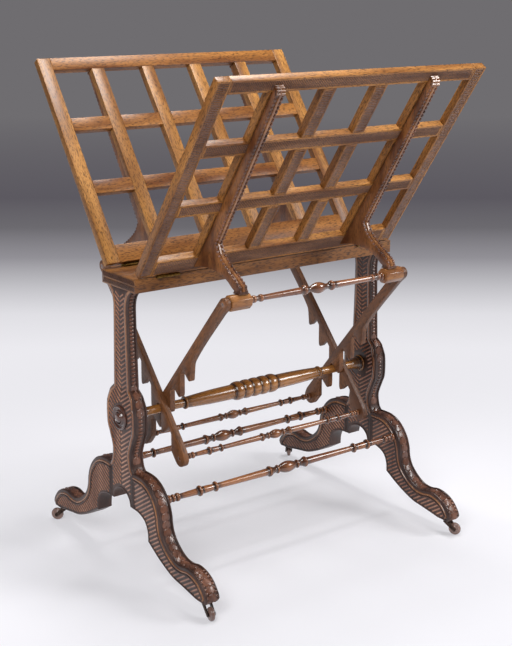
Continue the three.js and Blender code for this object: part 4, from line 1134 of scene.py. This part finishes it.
floor_mesh = bpy.data.meshes.new("floor")
square = ((-1, -1), (1, -1), (1, 1), (-1, 1))
floor_mesh.from_pydata([(x * FLOOR_SIZE, y * FLOOR_SIZE, 0) for x, y in square], [], [(0, 1, 2, 3)])
floor = placed("floor", floor_mesh)
paint, tree, lit = new_finish("floor_paint")
place = shading(tree, "TexCoord").outputs["Object"]
backward = (math.sin(CAMERA_YAW) / FLOOR_FADE, math.cos(CAMERA_YAW) / FLOOR_FADE, 0)
behind = reckoned(tree, "VectorMath", "DOT_PRODUCT", place, backward)
colour = tone_ramp(tree, behind, {distance / FLOOR_FADE: code for distance, code in FLOOR_TONES.items()})
fed(tree, lit, Base_Color=colour, Roughness=0.9, Specular_IOR_Level=0.1)
glow = shading(tree, "Emission", Color=colour)
away = reckoned(tree, "VectorMath", "LENGTH", place)
spread = shading(tree, "MapRange", Value=away, To_Min=FLOOR_GLOW)
spread.interpolation_type = "SMOOTHSTEP"
fed(tree, spread, From_Min=GLOW_SPREAD[0], From_Max=GLOW_SPREAD[1])
share = reckoned(tree, "Math", "MULTIPLY", seen_share(tree), spread.outputs["Result"])
mixed_out(tree, share, lit.outputs["BSDF"], glow.outputs["Emission"], "Material Output")
floor_mesh.materials.append(paint)

# Studio light
# Three soft boxes, at the left, overhead and at the right, and an even grey surround. The right one
# gives the turned rods and the carved edges their glints.
LAMP_AIM = Vector((0, 0, 0.6))
LAMPS = {
    "left": ((-2.2, -1.5, 2.4), 1.4, 58),
    "overhead": ((0.3, 0.1, 2.9), 0.7, 52),
    "right": ((2.0, -1.9, 2.0), 1.0, 48),
}
SURROUND_LIGHT = 0.18
for name, (spot, size, power) in LAMPS.items():
    lamp = bpy.data.lights.new(name, "AREA")
    lamp.size = size
    lamp.energy = power
    holder = placed(name, lamp)
    holder.location = spot
    holder.rotation_euler = (LAMP_AIM - Vector(spot)).to_track_quat("-Z", "Y").to_euler()
world = bpy.data.worlds.new("surround")
bpy.context.scene.world = world
world.use_nodes = True
tree = world.node_tree
light = fed(tree, tree.nodes["Background"], Color=tone("#ffffff"), Strength=SURROUND_LIGHT)
backdrop = shading(tree, "Background", Color=tone("#6a676b"))
shaders = (light.outputs["Background"], backdrop.outputs["Background"])
mixed_out(tree, seen_share(tree), *shaders, "World Output")

# Camera
# It stands to the left of the front, a little higher than the stand, and looks slightly down.
CAMERA_PLACE = (-1.7840, -2.4122, 1.3363)
CAMERA_PITCH = math.radians(-12.17)
LENS = 71.23
FRAME_DROP = -0.1006
view = bpy.data.cameras.new("camera")
view.lens = LENS
view.shift_y = FRAME_DROP
camera = placed("camera", view)
camera.location = CAMERA_PLACE
camera.rotation_euler = (math.pi / 2 + CAMERA_PITCH, 0, -CAMERA_YAW)
bpy.context.scene.camera = camera
bpy.context.scene.view_settings.view_transform = "Standard"
